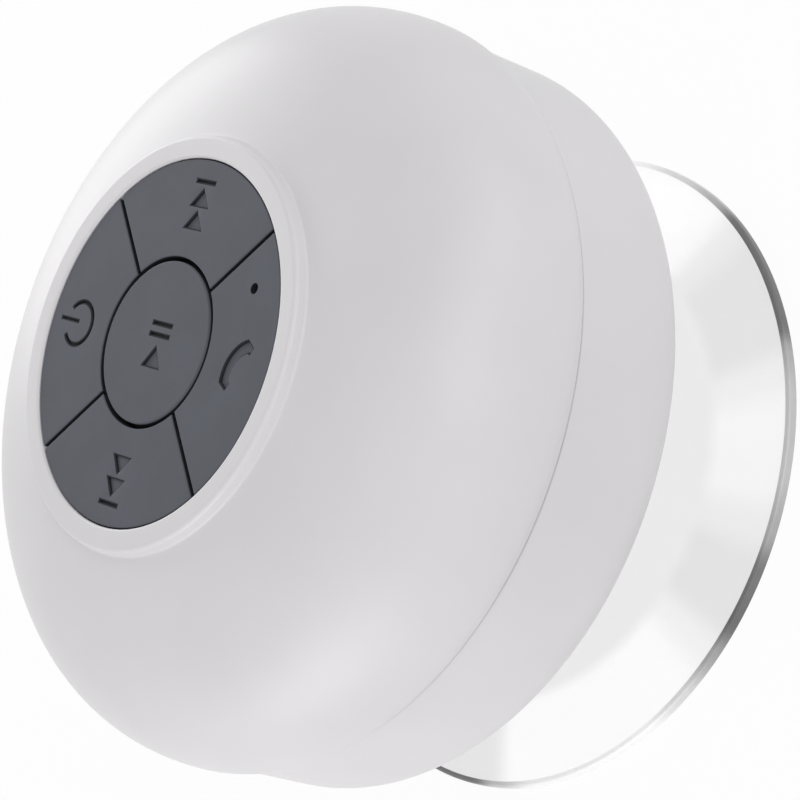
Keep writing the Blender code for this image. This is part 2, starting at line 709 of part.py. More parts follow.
def make_switches():
    """Make a push switch and its plunger under each key."""
    spots = {name: polar(SWITCH_OFFSET, heading) for name, heading in KEY_HEADINGS.items()}
    spots["play"] = (0.0, 0.0)
    low = BOARD_TOP + GAP
    plunger_low = SWITCH_TOP - PLUNGER_SEAT
    well_low = plunger_low - KEY_TRAVEL - GAP
    for name, spot in spots.items():
        block = ((SWITCH_SIZE, SWITCH_SIZE, SWITCH_TOP - low), (*spot, (low + SWITCH_TOP) / 2), 0.0)
        switch = add_part(name + "_switch", shape_mesh(blocks=[block]), BLACK_PLASTIC)
        well = (PLUNGER_RADIUS + GAP, well_low, SWITCH_TOP + WALL, spot)
        boolean(switch, add_tool(name + "_well", shape_mesh(rods=[well])), "DIFFERENCE")
        plunger = (PLUNGER_RADIUS, plunger_low, PLUNGER_TOP, spot)
        origin = (*spot, PLUNGER_TOP)
        add_part(name + "_plunger", shape_mesh(rods=[plunger]), WHITE_PLASTIC, origin=origin)


def make_main_board():
    """Make the round board, the chips and the microphone on it, and the battery under it."""
    profile = [(0.0, BOARD_TOP), (BOARD_RADIUS, BOARD_TOP), (BOARD_RADIUS, BOARD_LOW), (0.0, BOARD_LOW)]
    board = add_part("main_board", turned_mesh(profile, SHELL_STEPS, closed=False), BOARD_GREEN)
    holes = []
    for heading in DIAGONALS:
        spot = polar(POST_OFFSET, heading)
        holes.append((POST_SCREW_SHANK + GAP, BOARD_LOW - WALL, BOARD_TOP + WALL, spot))
    boolean(board, add_tool("board_holes", shape_mesh(rods=holes)), "DIFFERENCE")

    seat = BOARD_TOP + GAP
    chips = (
        ("wireless_module", MODULE_SIZE, DIAGONALS[1], PLATED_STEEL),
        ("amplifier_chip", AMPLIFIER_SIZE, DIAGONALS[0], BLACK_PLASTIC),
    )
    for name, size, heading, material in chips:
        centre = (*polar(SWITCH_OFFSET, heading), seat + size[2] / 2)
        add_part(name, shape_mesh(blocks=[(size, centre, heading)]), material)
    microphone = (MIC_RADIUS, seat, seat + MIC_HEIGHT, polar(MIC_OFFSET, MIC_HEADING))
    add_part("microphone", shape_mesh(rods=[microphone]), PLATED_STEEL)

    pad = (PAD_SIZE, (0.0, 0.0, PAD_TOP - PAD_SIZE[2] / 2), 0.0)
    add_part("battery_pad", shape_mesh(blocks=[pad]), FOAM)
    battery = (BATTERY_SIZE, (0.0, 0.0, BATTERY_TOP - BATTERY_SIZE[2] / 2), 0.0)
    add_part("battery", shape_mesh(blocks=[battery]), CELL_FOIL)


def make_basket():
    """Turn the loudspeaker's basket and drill its flange, and cut the gasket under it."""
    foot = ROLL_OUTSIDE + PAPER
    neck = BASKET_TOP_RADIUS - BASKET_WALL
    hole = COIL_OUTSIDE + 4 * GAP
    profile = [
        (BASKET_TOP_RADIUS, BASKET_TOP),
        (BASKET_TOP_RADIUS, BASKET_TOP - 2 * BASKET_WALL),
        (foot + BASKET_WALL, FLANGE_TOP),
        (FRAME_RADIUS, FLANGE_TOP),
        (FRAME_RADIUS, FLANGE_LOW),
        (foot, FLANGE_LOW),
        (foot, FLANGE_TOP),
        (neck, BASKET_TOP - 2 * BASKET_WALL),
        (neck, BASKET_TOP - BASKET_WALL),
        (hole, BASKET_TOP - BASKET_WALL),
        (hole, BASKET_TOP),
    ]
    basket = add_part("driver_basket", turned_mesh(profile, RING_STEPS), PLATED_STEEL)
    gasket_low = SEAT_TOP + GAP
    gasket_top = gasket_low + GASKET_THICKNESS
    section = [
        (FRAME_RADIUS, gasket_top),
        (FRAME_RADIUS, gasket_low),
        (SEAT_INSIDE, gasket_low),
        (SEAT_INSIDE, gasket_top),
    ]
    gasket = add_part("driver_gasket", turned_mesh(section, RING_STEPS), FOAM)
    holes = []
    for heading in QUARTERS:
        spot = polar(DRIVER_SCREW_OFFSET, heading)
        holes.append((DRIVER_SCREW_SHANK + GAP, SEAT_TOP - WALL, FLANGE_TOP + WALL, spot))
    tool = add_tool("flange_holes", shape_mesh(rods=holes))
    boolean(basket, tool, "DIFFERENCE")
    boolean(gasket, tool, "DIFFERENCE")


def make_motor():
    """Turn the magnet, the top plate and the yoke with its pole."""
    plate_top = PLATE_LOW + PLATE_THICKNESS
    magnet_top = MAGNET_LOW + MAGNET_THICKNESS
    yoke_top = YOKE_LOW + YOKE_THICKNESS
    plate_hole = COIL_OUTSIDE + GAP
    magnet_hole = plate_hole + MAGNET_THICKNESS / 2
    plate = [
        (PLATE_RADIUS, plate_top),
        (PLATE_RADIUS, PLATE_LOW),
        (plate_hole, PLATE_LOW),
        (plate_hole, plate_top),
    ]
    magnet = [
        (MAGNET_RADIUS, magnet_top),
        (MAGNET_RADIUS, MAGNET_LOW),
        (magnet_hole, MAGNET_LOW),
        (magnet_hole, magnet_top),
    ]
    yoke = [
        (0.0, yoke_top),
        (YOKE_RADIUS, yoke_top),
        (YOKE_RADIUS, YOKE_LOW),
        (POLE_RADIUS, YOKE_LOW),
        (POLE_RADIUS, PLATE_LOW),
        (0.0, PLATE_LOW),
    ]
    add_part("driver_top_plate", turned_mesh(plate, RING_STEPS), PLATED_STEEL)
    add_part("driver_magnet", turned_mesh(magnet, RING_STEPS), FERRITE)
    add_part("driver_yoke", turned_mesh(yoke, RING_STEPS, closed=False), PLATED_STEEL)


def make_cone():
    """Turn what moves in the loudspeaker, and the surround and spider that hold it."""
    neck_low = CONE_LOW + CONE_DEPTH
    cone = [
        (CONE_NECK, neck_low + PAPER),
        (CONE_EDGE, CONE_LOW + PAPER),
        (CONE_EDGE, CONE_LOW),
        (CONE_NECK, neck_low),
    ]
    add_part("speaker_cone", turned_mesh(cone, RING_STEPS), PAPER_BLACK)

    slope = CONE_DEPTH / (CONE_EDGE - CONE_NECK)
    cap_rim = CONE_LOW + slope * (CONE_EDGE - DUST_CAP_RADIUS) - GAP
    ball = (DUST_CAP_RADIUS**2 + DUST_CAP_BULGE**2) / (2 * DUST_CAP_BULGE)
    spread = math.asin(DUST_CAP_RADIUS / ball)
    middle = cap_rim - PAPER - DUST_CAP_BULGE + ball
    down = math.radians(-90.0)
    cap = arc((0.0, middle + PAPER), ball, down, down + spread, DUST_CAP_POINTS)
    cap += arc((0.0, middle), ball, down + spread, down, DUST_CAP_POINTS)
    add_part("dust_cap", turned_mesh(cap, RING_STEPS, closed=False), PAPER_BLACK)

    coil_low = neck_low - PAPER
    coil = [
        (COIL_OUTSIDE, coil_low + COIL_HEIGHT),
        (COIL_OUTSIDE, coil_low),
        (COIL_INSIDE, coil_low),
        (COIL_INSIDE, coil_low + COIL_HEIGHT),
    ]
    add_part("voice_coil", turned_mesh(coil, RING_STEPS), COPPER)

    roll = (ROLL_CENTRE, CONE_LOW + PAPER / 2)
    surround = [(SURROUND_OUTSIDE, SURROUND_TOP), (SURROUND_OUTSIDE, CONE_LOW), (ROLL_OUTSIDE, CONE_LOW)]
    surround += arc(roll, ROLL_RADIUS - PAPER / 2, 0.0, math.pi, ROUND_POINTS)
    surround += arc(roll, ROLL_RADIUS + PAPER / 2, math.pi, 0.0, ROUND_POINTS)[:-1]
    surround += [(ROLL_OUTSIDE + PAPER / 2, SURROUND_TOP)]
    add_part("cone_surround", turned_mesh(surround, RING_STEPS), BLACK_RUBBER)

    spider_middle = BASKET_TOP - BASKET_WALL - GAP - PAPER - SPIDER_WAVE
    outside = BASKET_TOP_RADIUS - BASKET_WALL - GAP
    ridges = []
    for i in range(2 * SPIDER_WAVES + 1):
        radius = outside + (CONE_NECK - outside) * i / (2 * SPIDER_WAVES)
        ridges.append((radius, spider_middle + SPIDER_WAVE * (-1) ** i))
    section = [(radius, height - PAPER / 2) for radius, height in ridges]
    section += [(radius, height + PAPER / 2) for radius, height in reversed(ridges)]
    add_part("spider", turned_mesh(section, RING_STEPS), PAPER_BLACK)


def make_grille_cloth():
    """Turn the cloth that covers the sound slots from inside."""
    low = FLOOR_Z + GAP
    top = low + CLOTH_THICKNESS
    outside = SEAT_INSIDE - GAP
    section = [(outside, top), (outside, low), (SOCKET_RADIUS, low), (SOCKET_RADIUS, top)]
    add_part("grille_cloth", turned_mesh(section, RING_STEPS), BLACK_RUBBER)


def socket_front():
    """Give the y of the charging socket's mouth, just inside the band's wall."""
    return BAND_INSIDE - GAP


def charge_board_middle():
    """Give the y of the charge board's middle."""
    return BAND_INSIDE - CHARGE_BOARD_INSET - CHARGE_BOARD_SIZE[1] / 2


def charge_board_low():
    """Give the underside of the charge board, which holds the socket at the port's height."""
    return PORT_Z - SOCKET_SIZE[2] / 2 - GAP - CHARGE_BOARD_SIZE[2]


def make_charging_port():
    """Make the charge board with its socket, and the rubber flap hinged at the band's surface."""
    board_middle = (0.0, charge_board_middle(), charge_board_low() + CHARGE_BOARD_SIZE[2] / 2)
    add_part("charge_board", shape_mesh(blocks=[(CHARGE_BOARD_SIZE, board_middle, 0.0)]), BOARD_GREEN)

    middle = (0.0, socket_front() - SOCKET_SIZE[1] / 2, PORT_Z)
    socket = add_part("charging_socket", shape_mesh(blocks=[(SOCKET_SIZE, middle, 0.0)]), PLATED_STEEL)
    mouth_size = (SOCKET_SIZE[0] - 2 * SOCKET_SHEET, SOCKET_SIZE[1], SOCKET_SIZE[2] - 2 * SOCKET_SHEET)
    mouth_middle = (0.0, middle[1] + 2 * SOCKET_SHEET, PORT_Z)
    mouth = add_tool("socket_mouth", shape_mesh(blocks=[(mouth_size, mouth_middle, 0.0)]))
    boolean(socket, mouth, "DIFFERENCE")

    half = FLAP_WIDTH / 2
    hinge = (half, math.sqrt(BAND_RADIUS**2 - half**2), PORT_Z)
    back = BAND_RADIUS - FLAP_DEPTH
    front = BODY_RADIUS + WALL
    slab = ((FLAP_WIDTH, front - back, FLAP_HEIGHT), (0.0, (back + front) / 2, PORT_Z), 0.0)
    flap = add_part("port_flap", shape_mesh(blocks=[slab]), WHITE_RUBBER, origin=hinge)
    band_low = PORT_Z - FLAP_HEIGHT
    band_high = PORT_Z + FLAP_HEIGHT
    band = [(0.0, band_high), (BAND_RADIUS, band_high), (BAND_RADIUS, band_low), (0.0, band_low)]
    boolean(flap, add_tool("flap_face", turned_mesh(band, SHELL_STEPS, closed=False)), "INTERSECT")
    plug_size = (PLUG_SIZE[0], PLUG_SIZE[1] + FLAP_DEPTH / 2, PLUG_SIZE[2])
    plug_middle = (0.0, back + FLAP_DEPTH / 2 - plug_size[1] / 2, PORT_Z)
    boolean(flap, add_tool("flap_plug", shape_mesh(blocks=[(plug_size, plug_middle, 0.0)])), "UNION")


def make_screw(name, spot, head, shank, seat, tip):
    """Turn a screw whose head, (radius, height), sits at a level and whose shank runs to its tip."""
    up = 1.0 if tip > seat else -1.0
    radius, height = head
    profile = [
        (0.0, tip),
        (shank - SCREW_POINT, tip),
        (shank, tip - up * SCREW_POINT),
        (shank, seat),
        (radius, seat),
        (radius, seat - up * height),
        (0.0, seat - up * height),
    ]
    if up < 0:
        profile.reverse()
    mesh = turned_mesh(profile, ROD_STEPS, closed=False, spot=spot)
    add_part(name, mesh, PLATED_STEEL, origin=(*spot, seat))


def make_screws():
    """Make the screws of the shells, the board and the loudspeaker."""
    shell_head = (SHELL_SCREW_HEAD, SHELL_SCREW_HEAD_HEIGHT)
    board_head = (POST_SCREW_HEAD, POST_SCREW_HEAD_HEIGHT)
    driver_head = (DRIVER_SCREW_HEAD, DRIVER_SCREW_HEAD_HEIGHT)
    shell_seat = BACK_Z + SHELL_SCREW_SINK - GAP
    board_seat = BOARD_LOW - GAP
    driver_seat = FLANGE_TOP + GAP
    shell_tip = shell_seat + SHELL_SCREW_LENGTH
    board_tip = BOARD_TOP + GAP + POST_SCREW_REACH
    driver_tip = SEAT_TOP - DRIVER_SCREW_REACH
    for i in range(4):
        label = "_screw_" + str(i + 1)
        shell_spot = polar(BOSS_OFFSET, DIAGONALS[i])
        board_spot = polar(POST_OFFSET, DIAGONALS[i])
        driver_spot = polar(DRIVER_SCREW_OFFSET, QUARTERS[i])
        make_screw("shell" + label, shell_spot, shell_head, SHELL_SCREW_SHANK, shell_seat, shell_tip)
        make_screw("board" + label, board_spot, board_head, POST_SCREW_SHANK, board_seat, board_tip)
        make_screw("driver" + label, driver_spot, driver_head, DRIVER_SCREW_SHANK, driver_seat, driver_tip)


def smooth_route(stops, count):
    """Give points on a smooth curve through a lead's stops."""
    ends = [stops[0]] + stops + [stops[-1]]
    points = []
    for i in range(1, len(ends) - 2):
        before, start, end, after = [Vector(stop) for stop in ends[i - 1 : i + 3]]
        for step in range(count):
            share = step / count
            lead_in = (end - before) / 6
            lead_out = (after - start) / 6
            rest = 1.0 - share
            point = start * rest**3 + (start + lead_in) * (3 * share * rest**2)
            point += (end - lead_out) * (3 * share**2 * rest) + end * share**3
            points.append(point)
    return points + [Vector(stops[-1])]


def make_lead(name, stops, material):
    """Make an insulated wire through its stops."""
    curve = bpy.data.curves.new(name, "CURVE")
    curve.dimensions = "3D"
    curve.bevel_depth = LEAD_RADIUS
    curve.bevel_resolution = 1
    curve.use_fill_caps = True
    curve.materials.append(material)
    points = smooth_route(stops, LEAD_POINTS)
    spline = curve.splines.new("POLY")
    spline.points.add(len(points) - 1)
    for control, point in zip(spline.points, points):
        control.co = (*point, 1.0)
    lead = bpy.data.objects.new(name, curve)
    lead.parent = HOUSING_FRAME
    PARTS.objects.link(lead)


def make_leads():
    """Run the pairs of leads from the battery, the loudspeaker and the charge board to the main board."""
    board = BOARD_LOW - GAP
    battery_end = BATTERY_SIZE[0] / 2 + GAP
    battery_middle = BATTERY_TOP - BATTERY_SIZE[2] / 2
    basket_middle = (FLANGE_TOP + BASKET_TOP) / 2
    basket_side = (ROLL_OUTSIDE + BASKET_TOP_RADIUS) / 2 + BASKET_WALL + 2 * LEAD_RADIUS
    charge_top = charge_board_low() + CHARGE_BOARD_SIZE[2] + GAP
    charge_back = charge_board_middle() - CHARGE_BOARD_SIZE[1] / 2 + 2 * LEAD_RADIUS
    reach = BOARD_RADIUS - 4 * LEAD_RADIUS
    for name, material, side in (("red", RED_LEAD, -1), ("black", BLACK_LEAD, 1)):
        across = side * LEAD_SPREAD / 2
        battery_stops = [
            (battery_end, across, battery_middle),
            (battery_end + 4 * LEAD_RADIUS, across, battery_middle),
            (battery_end + 7 * LEAD_RADIUS, across, (battery_middle + board) / 2),
            (battery_end + 7 * LEAD_RADIUS, across, board),
        ]
        speaker_stops = [
            (-basket_side, across, basket_middle),
            (-(basket_side + reach) / 2, across, (2 * basket_middle + board) / 3),
            (-reach, across, (basket_middle + 2 * board) / 3),
            (-reach, across, board),
        ]
        charge_stops = [
            (across, charge_back, charge_top),
            (across, charge_back, (3 * charge_top + board) / 4),
            (across, reach, (charge_top + 3 * board) / 4),
            (across, reach, board),
        ]
        make_lead("battery_lead_" + name, battery_stops, material)
        make_lead("speaker_lead_" + name, speaker_stops, material)
        make_lead("charge_lead_" + name, charge_stops, material)


make_suction_cup()
make_front_shell()
make_rear_shell()
make_shell_seal()
make_keys()
make_keypad_web()
make_switches()
make_main_board()
make_basket()
make_motor()
make_cone()
make_grille_cloth()
make_charging_port()
make_screws()
make_leads()
print("pieces made:", sum(1 for item in PARTS.objects if item.type != "EMPTY"))
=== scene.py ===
# %% [markdown]
# # Dressing a shower speaker
#
# The solids of the speaker come packed as a frame: every piece has its real size and place, and
# its joints are known. This lesson gives the frame its looks. It models a finer skin for the
# pieces that show, paints every surface with procedural materials, and sets the speaker on a
# white floor in soft light. Before each step a short note says what the piece is on the real
# speaker, how it could be made, and why it is made this way.

# %% Load the frame and keep its box
import json
import math

import bmesh
import bpy
from mathutils import Matrix, Vector
from mathutils.geometry import interpolate_bezier


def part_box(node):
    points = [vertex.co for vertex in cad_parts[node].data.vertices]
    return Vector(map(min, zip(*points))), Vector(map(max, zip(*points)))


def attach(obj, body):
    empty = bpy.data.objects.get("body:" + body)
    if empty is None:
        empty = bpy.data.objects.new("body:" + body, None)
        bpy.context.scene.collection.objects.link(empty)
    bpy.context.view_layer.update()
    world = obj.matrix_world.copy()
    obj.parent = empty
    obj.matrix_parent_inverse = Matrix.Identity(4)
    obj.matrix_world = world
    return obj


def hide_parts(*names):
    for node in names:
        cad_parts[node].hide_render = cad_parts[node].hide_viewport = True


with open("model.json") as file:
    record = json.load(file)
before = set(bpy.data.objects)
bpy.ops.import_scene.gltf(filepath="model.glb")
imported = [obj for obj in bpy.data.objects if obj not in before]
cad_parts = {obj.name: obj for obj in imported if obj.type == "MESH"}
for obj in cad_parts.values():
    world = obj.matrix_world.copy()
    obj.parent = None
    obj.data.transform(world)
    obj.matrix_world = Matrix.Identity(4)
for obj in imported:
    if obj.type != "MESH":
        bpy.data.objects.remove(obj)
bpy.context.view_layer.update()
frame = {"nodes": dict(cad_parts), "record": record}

MM = 0.001


def in_mm(*lengths):
    """Give lengths in millimetres, rounded for printing."""
    return [round(length / MM, 2) for length in lengths]


def add_object(name, data):
    """Add an object to the scene."""
    item = bpy.data.objects.new(name, data)
    bpy.context.scene.collection.objects.link(item)
    return item


# %% [markdown]
# ## Sizes read from the frame
#
# A skin has to sit where its solid is. Typing the sizes again would work until the solid
# changes, so the main ones are read from the boxes of the nodes. Only what a box can't tell, such
# as the width of the collar, is written later as a value of its own, where it is first needed.

# %% Read the main sizes
front_low, front_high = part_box("front_shell")
rear_low, rear_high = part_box("rear_shell")
cup_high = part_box("suction_cup")[1]
play_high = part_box("play_key")[1]

BODY_RADIUS = front_high.x
TOP = front_high.z
BAND_RADIUS = rear_high.x
SOCKET_FACE = rear_low.z
CUP_RADIUS = cup_high.x
KEY_TOP = play_high.z
PLAY_RADIUS = play_high.x
print("body radius, top and key top in mm", in_mm(BODY_RADIUS, TOP, KEY_TOP))

# %% [markdown]
# ## The camera
#
# The photograph was taken with a long lens from in front of and above the key panel, and the
# speaker lies on its side in it. Here the speaker stands on its cup, so the camera is rolled
# instead. The place could be found by dragging the camera about; it is written as an aim, three
# angles and a distance, because those can be read and changed one at a time.

# %% Place the camera
AIM = Vector((1.72, -15.53, 38.0)) * MM
DISTANCE = 342.5 * MM
AZIMUTH = math.radians(-1.99)
ELEVATION = math.radians(39.61)
ROLL = math.radians(-71.81)
LENS = 144.05

level = math.cos(ELEVATION)
towards = Vector((math.sin(AZIMUTH) * level, -math.cos(AZIMUTH) * level, math.sin(ELEVATION)))
look = (-towards).to_track_quat("-Z", "Y").to_matrix().to_4x4()
camera = add_object("camera", bpy.data.cameras.new("camera"))
camera.data.lens = LENS
camera.matrix_world = Matrix.Translation(AIM + towards * DISTANCE) @ look @ Matrix.Rotation(ROLL, 4, "Z")
bpy.context.scene.camera = camera
bpy.context.scene.view_settings.view_transform = "Standard"
print("camera at", [round(value, 3) for value in camera.matrix_world.translation])

# %% [markdown]
# ## White floor and white surroundings
#
# The photograph has a plain white ground. Flooding the speaker with light would burn the floor
# white but would also bleach the plastic. Instead the floor and the world show white to the
# camera, to mirror-like rays and to rays that pass through clear rubber, while they light the
# speaker at a plain level. A part of the floor's own lit surface stays mixed in, so the shadow
# is still there.

# %% Helpers for shaders
def new_finish(name):
    """Start a material, and give it with its node tree and its main shader."""
    material = bpy.data.materials.new(name)
    material.use_nodes = True
    tree = material.node_tree
    return material, tree, tree.nodes["Principled BSDF"]


def set_inputs(node, values):
    """Set values on the named inputs of a node."""
    for name, value in values.items():
        node.inputs[name].default_value = value


def link(source, target):
    """Link an output to an input in the node tree that both are in."""
    source.id_data.links.new(source, target)


def mix_shaders(tree, share, first, second, output):
    """Mix two shaders by a share, and send the mix to an output node."""
    mix = tree.nodes.new("ShaderNodeMixShader")
    link(share, mix.inputs["Fac"])
    link(first.outputs[0], mix.inputs[1])
    link(second.outputs[0], mix.inputs[2])
    link(mix.outputs[0], tree.nodes[output].inputs["Surface"])


def seen_directly(tree):
    """Give a socket that is 1 for rays that show the ground itself: sight, mirror and clear ones."""
    path = tree.nodes.new("ShaderNodeLightPath")
    shown = path.outputs["Is Camera Ray"]
    for kind in ("Is Glossy Ray", "Is Transmission Ray"):
        either = tree.nodes.new("ShaderNodeMath")
        either.operation = "MAXIMUM"
        link(shown, either.inputs[0])
        link(path.outputs[kind], either.inputs[1])
        shown = either.outputs[0]
    return shown


print("shader helpers:", [helper.__name__ for helper in (new_finish, set_inputs, link, mix_shaders)])

# %% Make the world and the floor
WHITE = (1.0, 1.0, 1.0, 1.0)
AMBIENT = 0.56
FLOOR_GLOW = 0.94
FLOOR_TONE = (0.9, 0.9, 0.9, 1.0)
FLOOR_RADIUS = 3.0
FLOOR_SIDES = 64
FLOOR_DROP = 0.1 * MM

world = bpy.data.worlds.new("white_surroundings")
world.use_nodes = True
bpy.context.scene.world = world
tree = world.node_tree
lit = tree.nodes["Background"]
set_inputs(lit, {"Color": WHITE, "Strength": AMBIENT})
shown = tree.nodes.new("ShaderNodeBackground")
set_inputs(shown, {"Color": WHITE})
mix_shaders(tree, seen_directly(tree), lit, shown, "World Output")

paper, tree, matt = new_finish("floor_paper")
set_inputs(matt, {"Base Color": FLOOR_TONE, "Roughness": 1.0, "Specular IOR Level": 0.0})
glow = tree.nodes.new("ShaderNodeEmission")
share = tree.nodes.new("ShaderNodeMath")
share.operation = "MULTIPLY"
share.inputs[1].default_value = FLOOR_GLOW
link(seen_directly(tree), share.inputs[0])
mix_shaders(tree, share.outputs[0], matt, glow, "Material Output")

shape = bmesh.new()
bmesh.ops.create_circle(
    shape,
    cap_ends=True,
    segments=FLOOR_SIDES,
    radius=FLOOR_RADIUS,
    matrix=Matrix.Translation((0.0, 0.0, -FLOOR_DROP)),
)
floor = add_object("floor", bpy.data.meshes.new("floor"))
shape.to_mesh(floor.data)
shape.free()
floor.data.materials.append(paper)
print("floor radius", FLOOR_RADIUS, "m")

# %% [markdown]
# ## Soft lamps
#
# The dome in the photograph is nearly even in tone, with broad, faint highlights low on its side,
# as from soft boxes that stand round the speaker, and a darker middle that looks at the ceiling.
# One bare lamp would give a hard spot. So large discs stand low on two sides, which light the
# edges of the dome and one wall of every sunk sign, two weaker ones stand at the front, and the
# world does the rest.

# %% Stand the lamps round the speaker
LAMP_DISTANCE = 0.60
LAMPS = (
    ("previous_side_box", -168.0, 12.0, 0.46, 1.52),
    ("power_side_box", 75.0, 12.0, 0.42, 1.35),
    ("next_side_box", -30.0, 13.0, 0.28, 0.40),
    ("front_box", -62.0, 40.0, 0.40, 0.85),
)
for name, heading, height, size, power in LAMPS:
    lamp = bpy.data.lights.new(name, "AREA")
    lamp.shape = "DISK"
    lamp.size = size
    lamp.energy = power
    rise = math.tan(math.radians(height))
    outward = Matrix.Rotation(math.radians(heading), 3, "Z") @ Vector((1.0, 0.0, rise))
    outward.normalize()
    turn = outward.to_track_quat("Z", "Y").to_matrix().to_4x4()
    item = add_object(name, lamp)
    item.matrix_world = Matrix.Translation(AIM + outward * LAMP_DISTANCE) @ turn
    print(name, "at", [round(value, 2) for value in item.matrix_world.translation])

# %% [markdown]
# ## How the finishes are made
#
# Every moulded, rolled or sprayed surface varies a little in tone, gloss and height. A flat
# colour hides that and looks like a stand-in. One function makes such a finish: a noise gives two
# close tones, the same noise moves the roughness, and a finer noise makes the grain. It reads
# Object coordinates, so the pattern has a real scale in metres and stays on the piece.

# %% Helpers for colours and finishes
TONE_STOPS = (0.35, 0.65)
NOISE_DETAIL = 3.0


def linear(level):
    """Turn a screen level, 0 to 255, into linear light."""
    share = level / 255
    return share / 12.92 if share <= 0.04045 else ((share + 0.055) / 1.055) ** 2.4


def tone(red, green, blue):
    """Give a colour as a shader takes it, from screen levels."""
    return (linear(red), linear(green), linear(blue), 1.0)


def object_place(tree):
    """Give the socket with the place on the piece, in metres."""
    return tree.nodes.new("ShaderNodeTexCoord").outputs["Object"]


def noise_field(tree, scale):
    """Give a noise node on Object coordinates, with its scale in waves to the metre."""
    noise = tree.nodes.new("ShaderNodeTexNoise")
    set_inputs(noise, {"Scale": scale, "Detail": NOISE_DETAIL})
    link(object_place(tree), noise.inputs["Vector"])
    return noise


def mottled_finish(name, tones, patch, roughness, grain, metallic, specular):
    """Make a finish with two close tones, uneven gloss and a grain of (waves to the metre, height)."""
    material, tree, shader = new_finish(name)
    set_inputs(shader, {"Metallic": metallic, "Specular IOR Level": specular})
    noise = noise_field(tree, patch)
    ramp = tree.nodes.new("ShaderNodeValToRGB")
    for stop, share, colour in zip(ramp.color_ramp.elements, TONE_STOPS, tones):
        stop.position = share
        stop.color = tone(*colour)
    gloss = tree.nodes.new("ShaderNodeMapRange")
    set_inputs(gloss, {"To Min": roughness[0], "To Max": roughness[1]})
    bump = tree.nodes.new("ShaderNodeBump")
    set_inputs(bump, {"Strength": 1.0, "Distance": grain[1]})
    link(noise.outputs["Fac"], ramp.inputs["Fac"])
    link(ramp.outputs["Color"], shader.inputs["Base Color"])
    link(noise.outputs["Fac"], gloss.inputs["Value"])
    link(gloss.outputs["Result"], shader.inputs["Roughness"])
    link(noise_field(tree, grain[0]).outputs["Fac"], bump.inputs["Height"])
    link(bump.outputs["Normal"], shader.inputs["Normal"])
    return material


print("white level 255 is", tone(255, 255, 255)[:3])

# %% [markdown]
# ## Finishes of the moulded and metal pieces
#
# The body is satin white plastic, the keys are matt grey rubber with a fine spark-eroded grain,
# and the pieces inside have the finishes of a board, steel, ferrite, copper, paper, foam and foil.
# Two more finishes are painted shade, each the second finish of a piece: a dark one for the walls
# and narrow strokes of the signs and the sides of the keys, and a grey one for the rounded edge at
# the seam. A row gives the slot, the material's name, its two tones, the patches to the metre, the
# range of roughness, the waves of the grain to the metre and the grain's height in millimetres.

# %% Mix the finishes
RECIPES = (
    ("white_plastic", "satin_white_plastic", (213, 211, 213), (216, 214, 216), 60, (0.4, 0.46), 2600, 0.003),
    ("grey_rubber", "key_rubber", (79, 82, 89), (85, 88, 96), 180, (0.60, 0.72), 5200, 0.012),
    ("black_rubber", "web_rubber", (16, 16, 17), (24, 24, 26), 240, (0.65, 0.80), 4200, 0.010),
    ("white_rubber", "flap_rubber", (205, 204, 205), (210, 209, 210), 140, (0.52, 0.62), 4200, 0.008),
    ("black_plastic", "switch_plastic", (26, 26, 28), (36, 36, 38), 400, (0.45, 0.60), 5000, 0.006),
    ("board_green", "board_lacquer", (24, 78, 46), (38, 98, 60), 900, (0.30, 0.45), 3000, 0.006),
    ("plated_steel", "plated_steel", (168, 170, 172), (190, 191, 193), 500, (0.25, 0.42), 6000, 0.004),
    ("ferrite", "ferrite", (44, 44, 46), (58, 58, 60), 1500, (0.55, 0.75), 4500, 0.020),
    ("copper", "enamelled_copper", (172, 98, 58), (196, 124, 80), 900, (0.25, 0.40), 9000, 0.006),
    ("paper_black", "pressed_paper", (28, 28, 30), (44, 44, 46), 1200, (0.80, 0.95), 3800, 0.030),
    ("foam", "foam", (52, 52, 54), (70, 70, 72), 1600, (0.90, 1.0), 3200, 0.060),
    ("cell_foil", "cell_foil", (140, 160, 180), (160, 178, 196), 120, (0.22, 0.36), 700, 0.020),
    ("red_lead", "red_insulation", (156, 26, 24), (178, 36, 34), 500, (0.40, 0.55), 3000, 0.006),
    ("black_lead", "black_insulation", (20, 20, 21), (30, 30, 31), 500, (0.40, 0.55), 3000, 0.006),
    # Painted shade: the walls and narrow strokes of the sunk signs, darker than the key rubber.
    ("sign_painted_shade", "sign_painted_shade_rubber", (34, 35, 38), (42, 43, 47), 300, (0.70, 0.85), 5200, 0.012),
    # Painted shade: the grey rounded edge at the seam.
    ("seam_painted_shade", "seam_painted_shade", (192, 191, 193), (198, 197, 199), 60, (0.55, 0.65), 2600, 0.003),
)
METALLIC = {"plated_steel": 1.0, "copper": 1.0, "cell_foil": 0.6}
SPECULAR = {"grey_rubber": 0.30, "black_rubber": 0.30, "sign_painted_shade": 0.20, "seam_painted_shade": 0.20}
PLAIN_SPECULAR = 0.5

FINISHES = {}
for slot, name, dark, light, patch, roughness, waves, height in RECIPES:
    metallic = METALLIC.get(slot, 0.0)
    specular = SPECULAR.get(slot, PLAIN_SPECULAR)
    grain = (waves, height * MM)
    FINISHES[slot] = mottled_finish(name, (dark, light), patch, roughness, grain, metallic, specular)
print("finishes mixed:", len(FINISHES))

# %% [markdown]
# ## Woven cloth behind the sound slots
#
# Through the slots in the back a black cloth shows. Cloth could be modelled thread by thread, but
# at this size two crossed waves are enough: each is a row of threads, and the higher of the two
# is the one on top.

# %% Weave the cloth
THREADS = 1100.0
THREAD_HEIGHT = 0.08 * MM
THREAD_TONES = ((8, 8, 9), (38, 38, 40))
CLOTH_ROUGHNESS = 0.92
CLOTH_SHEEN = 0.15


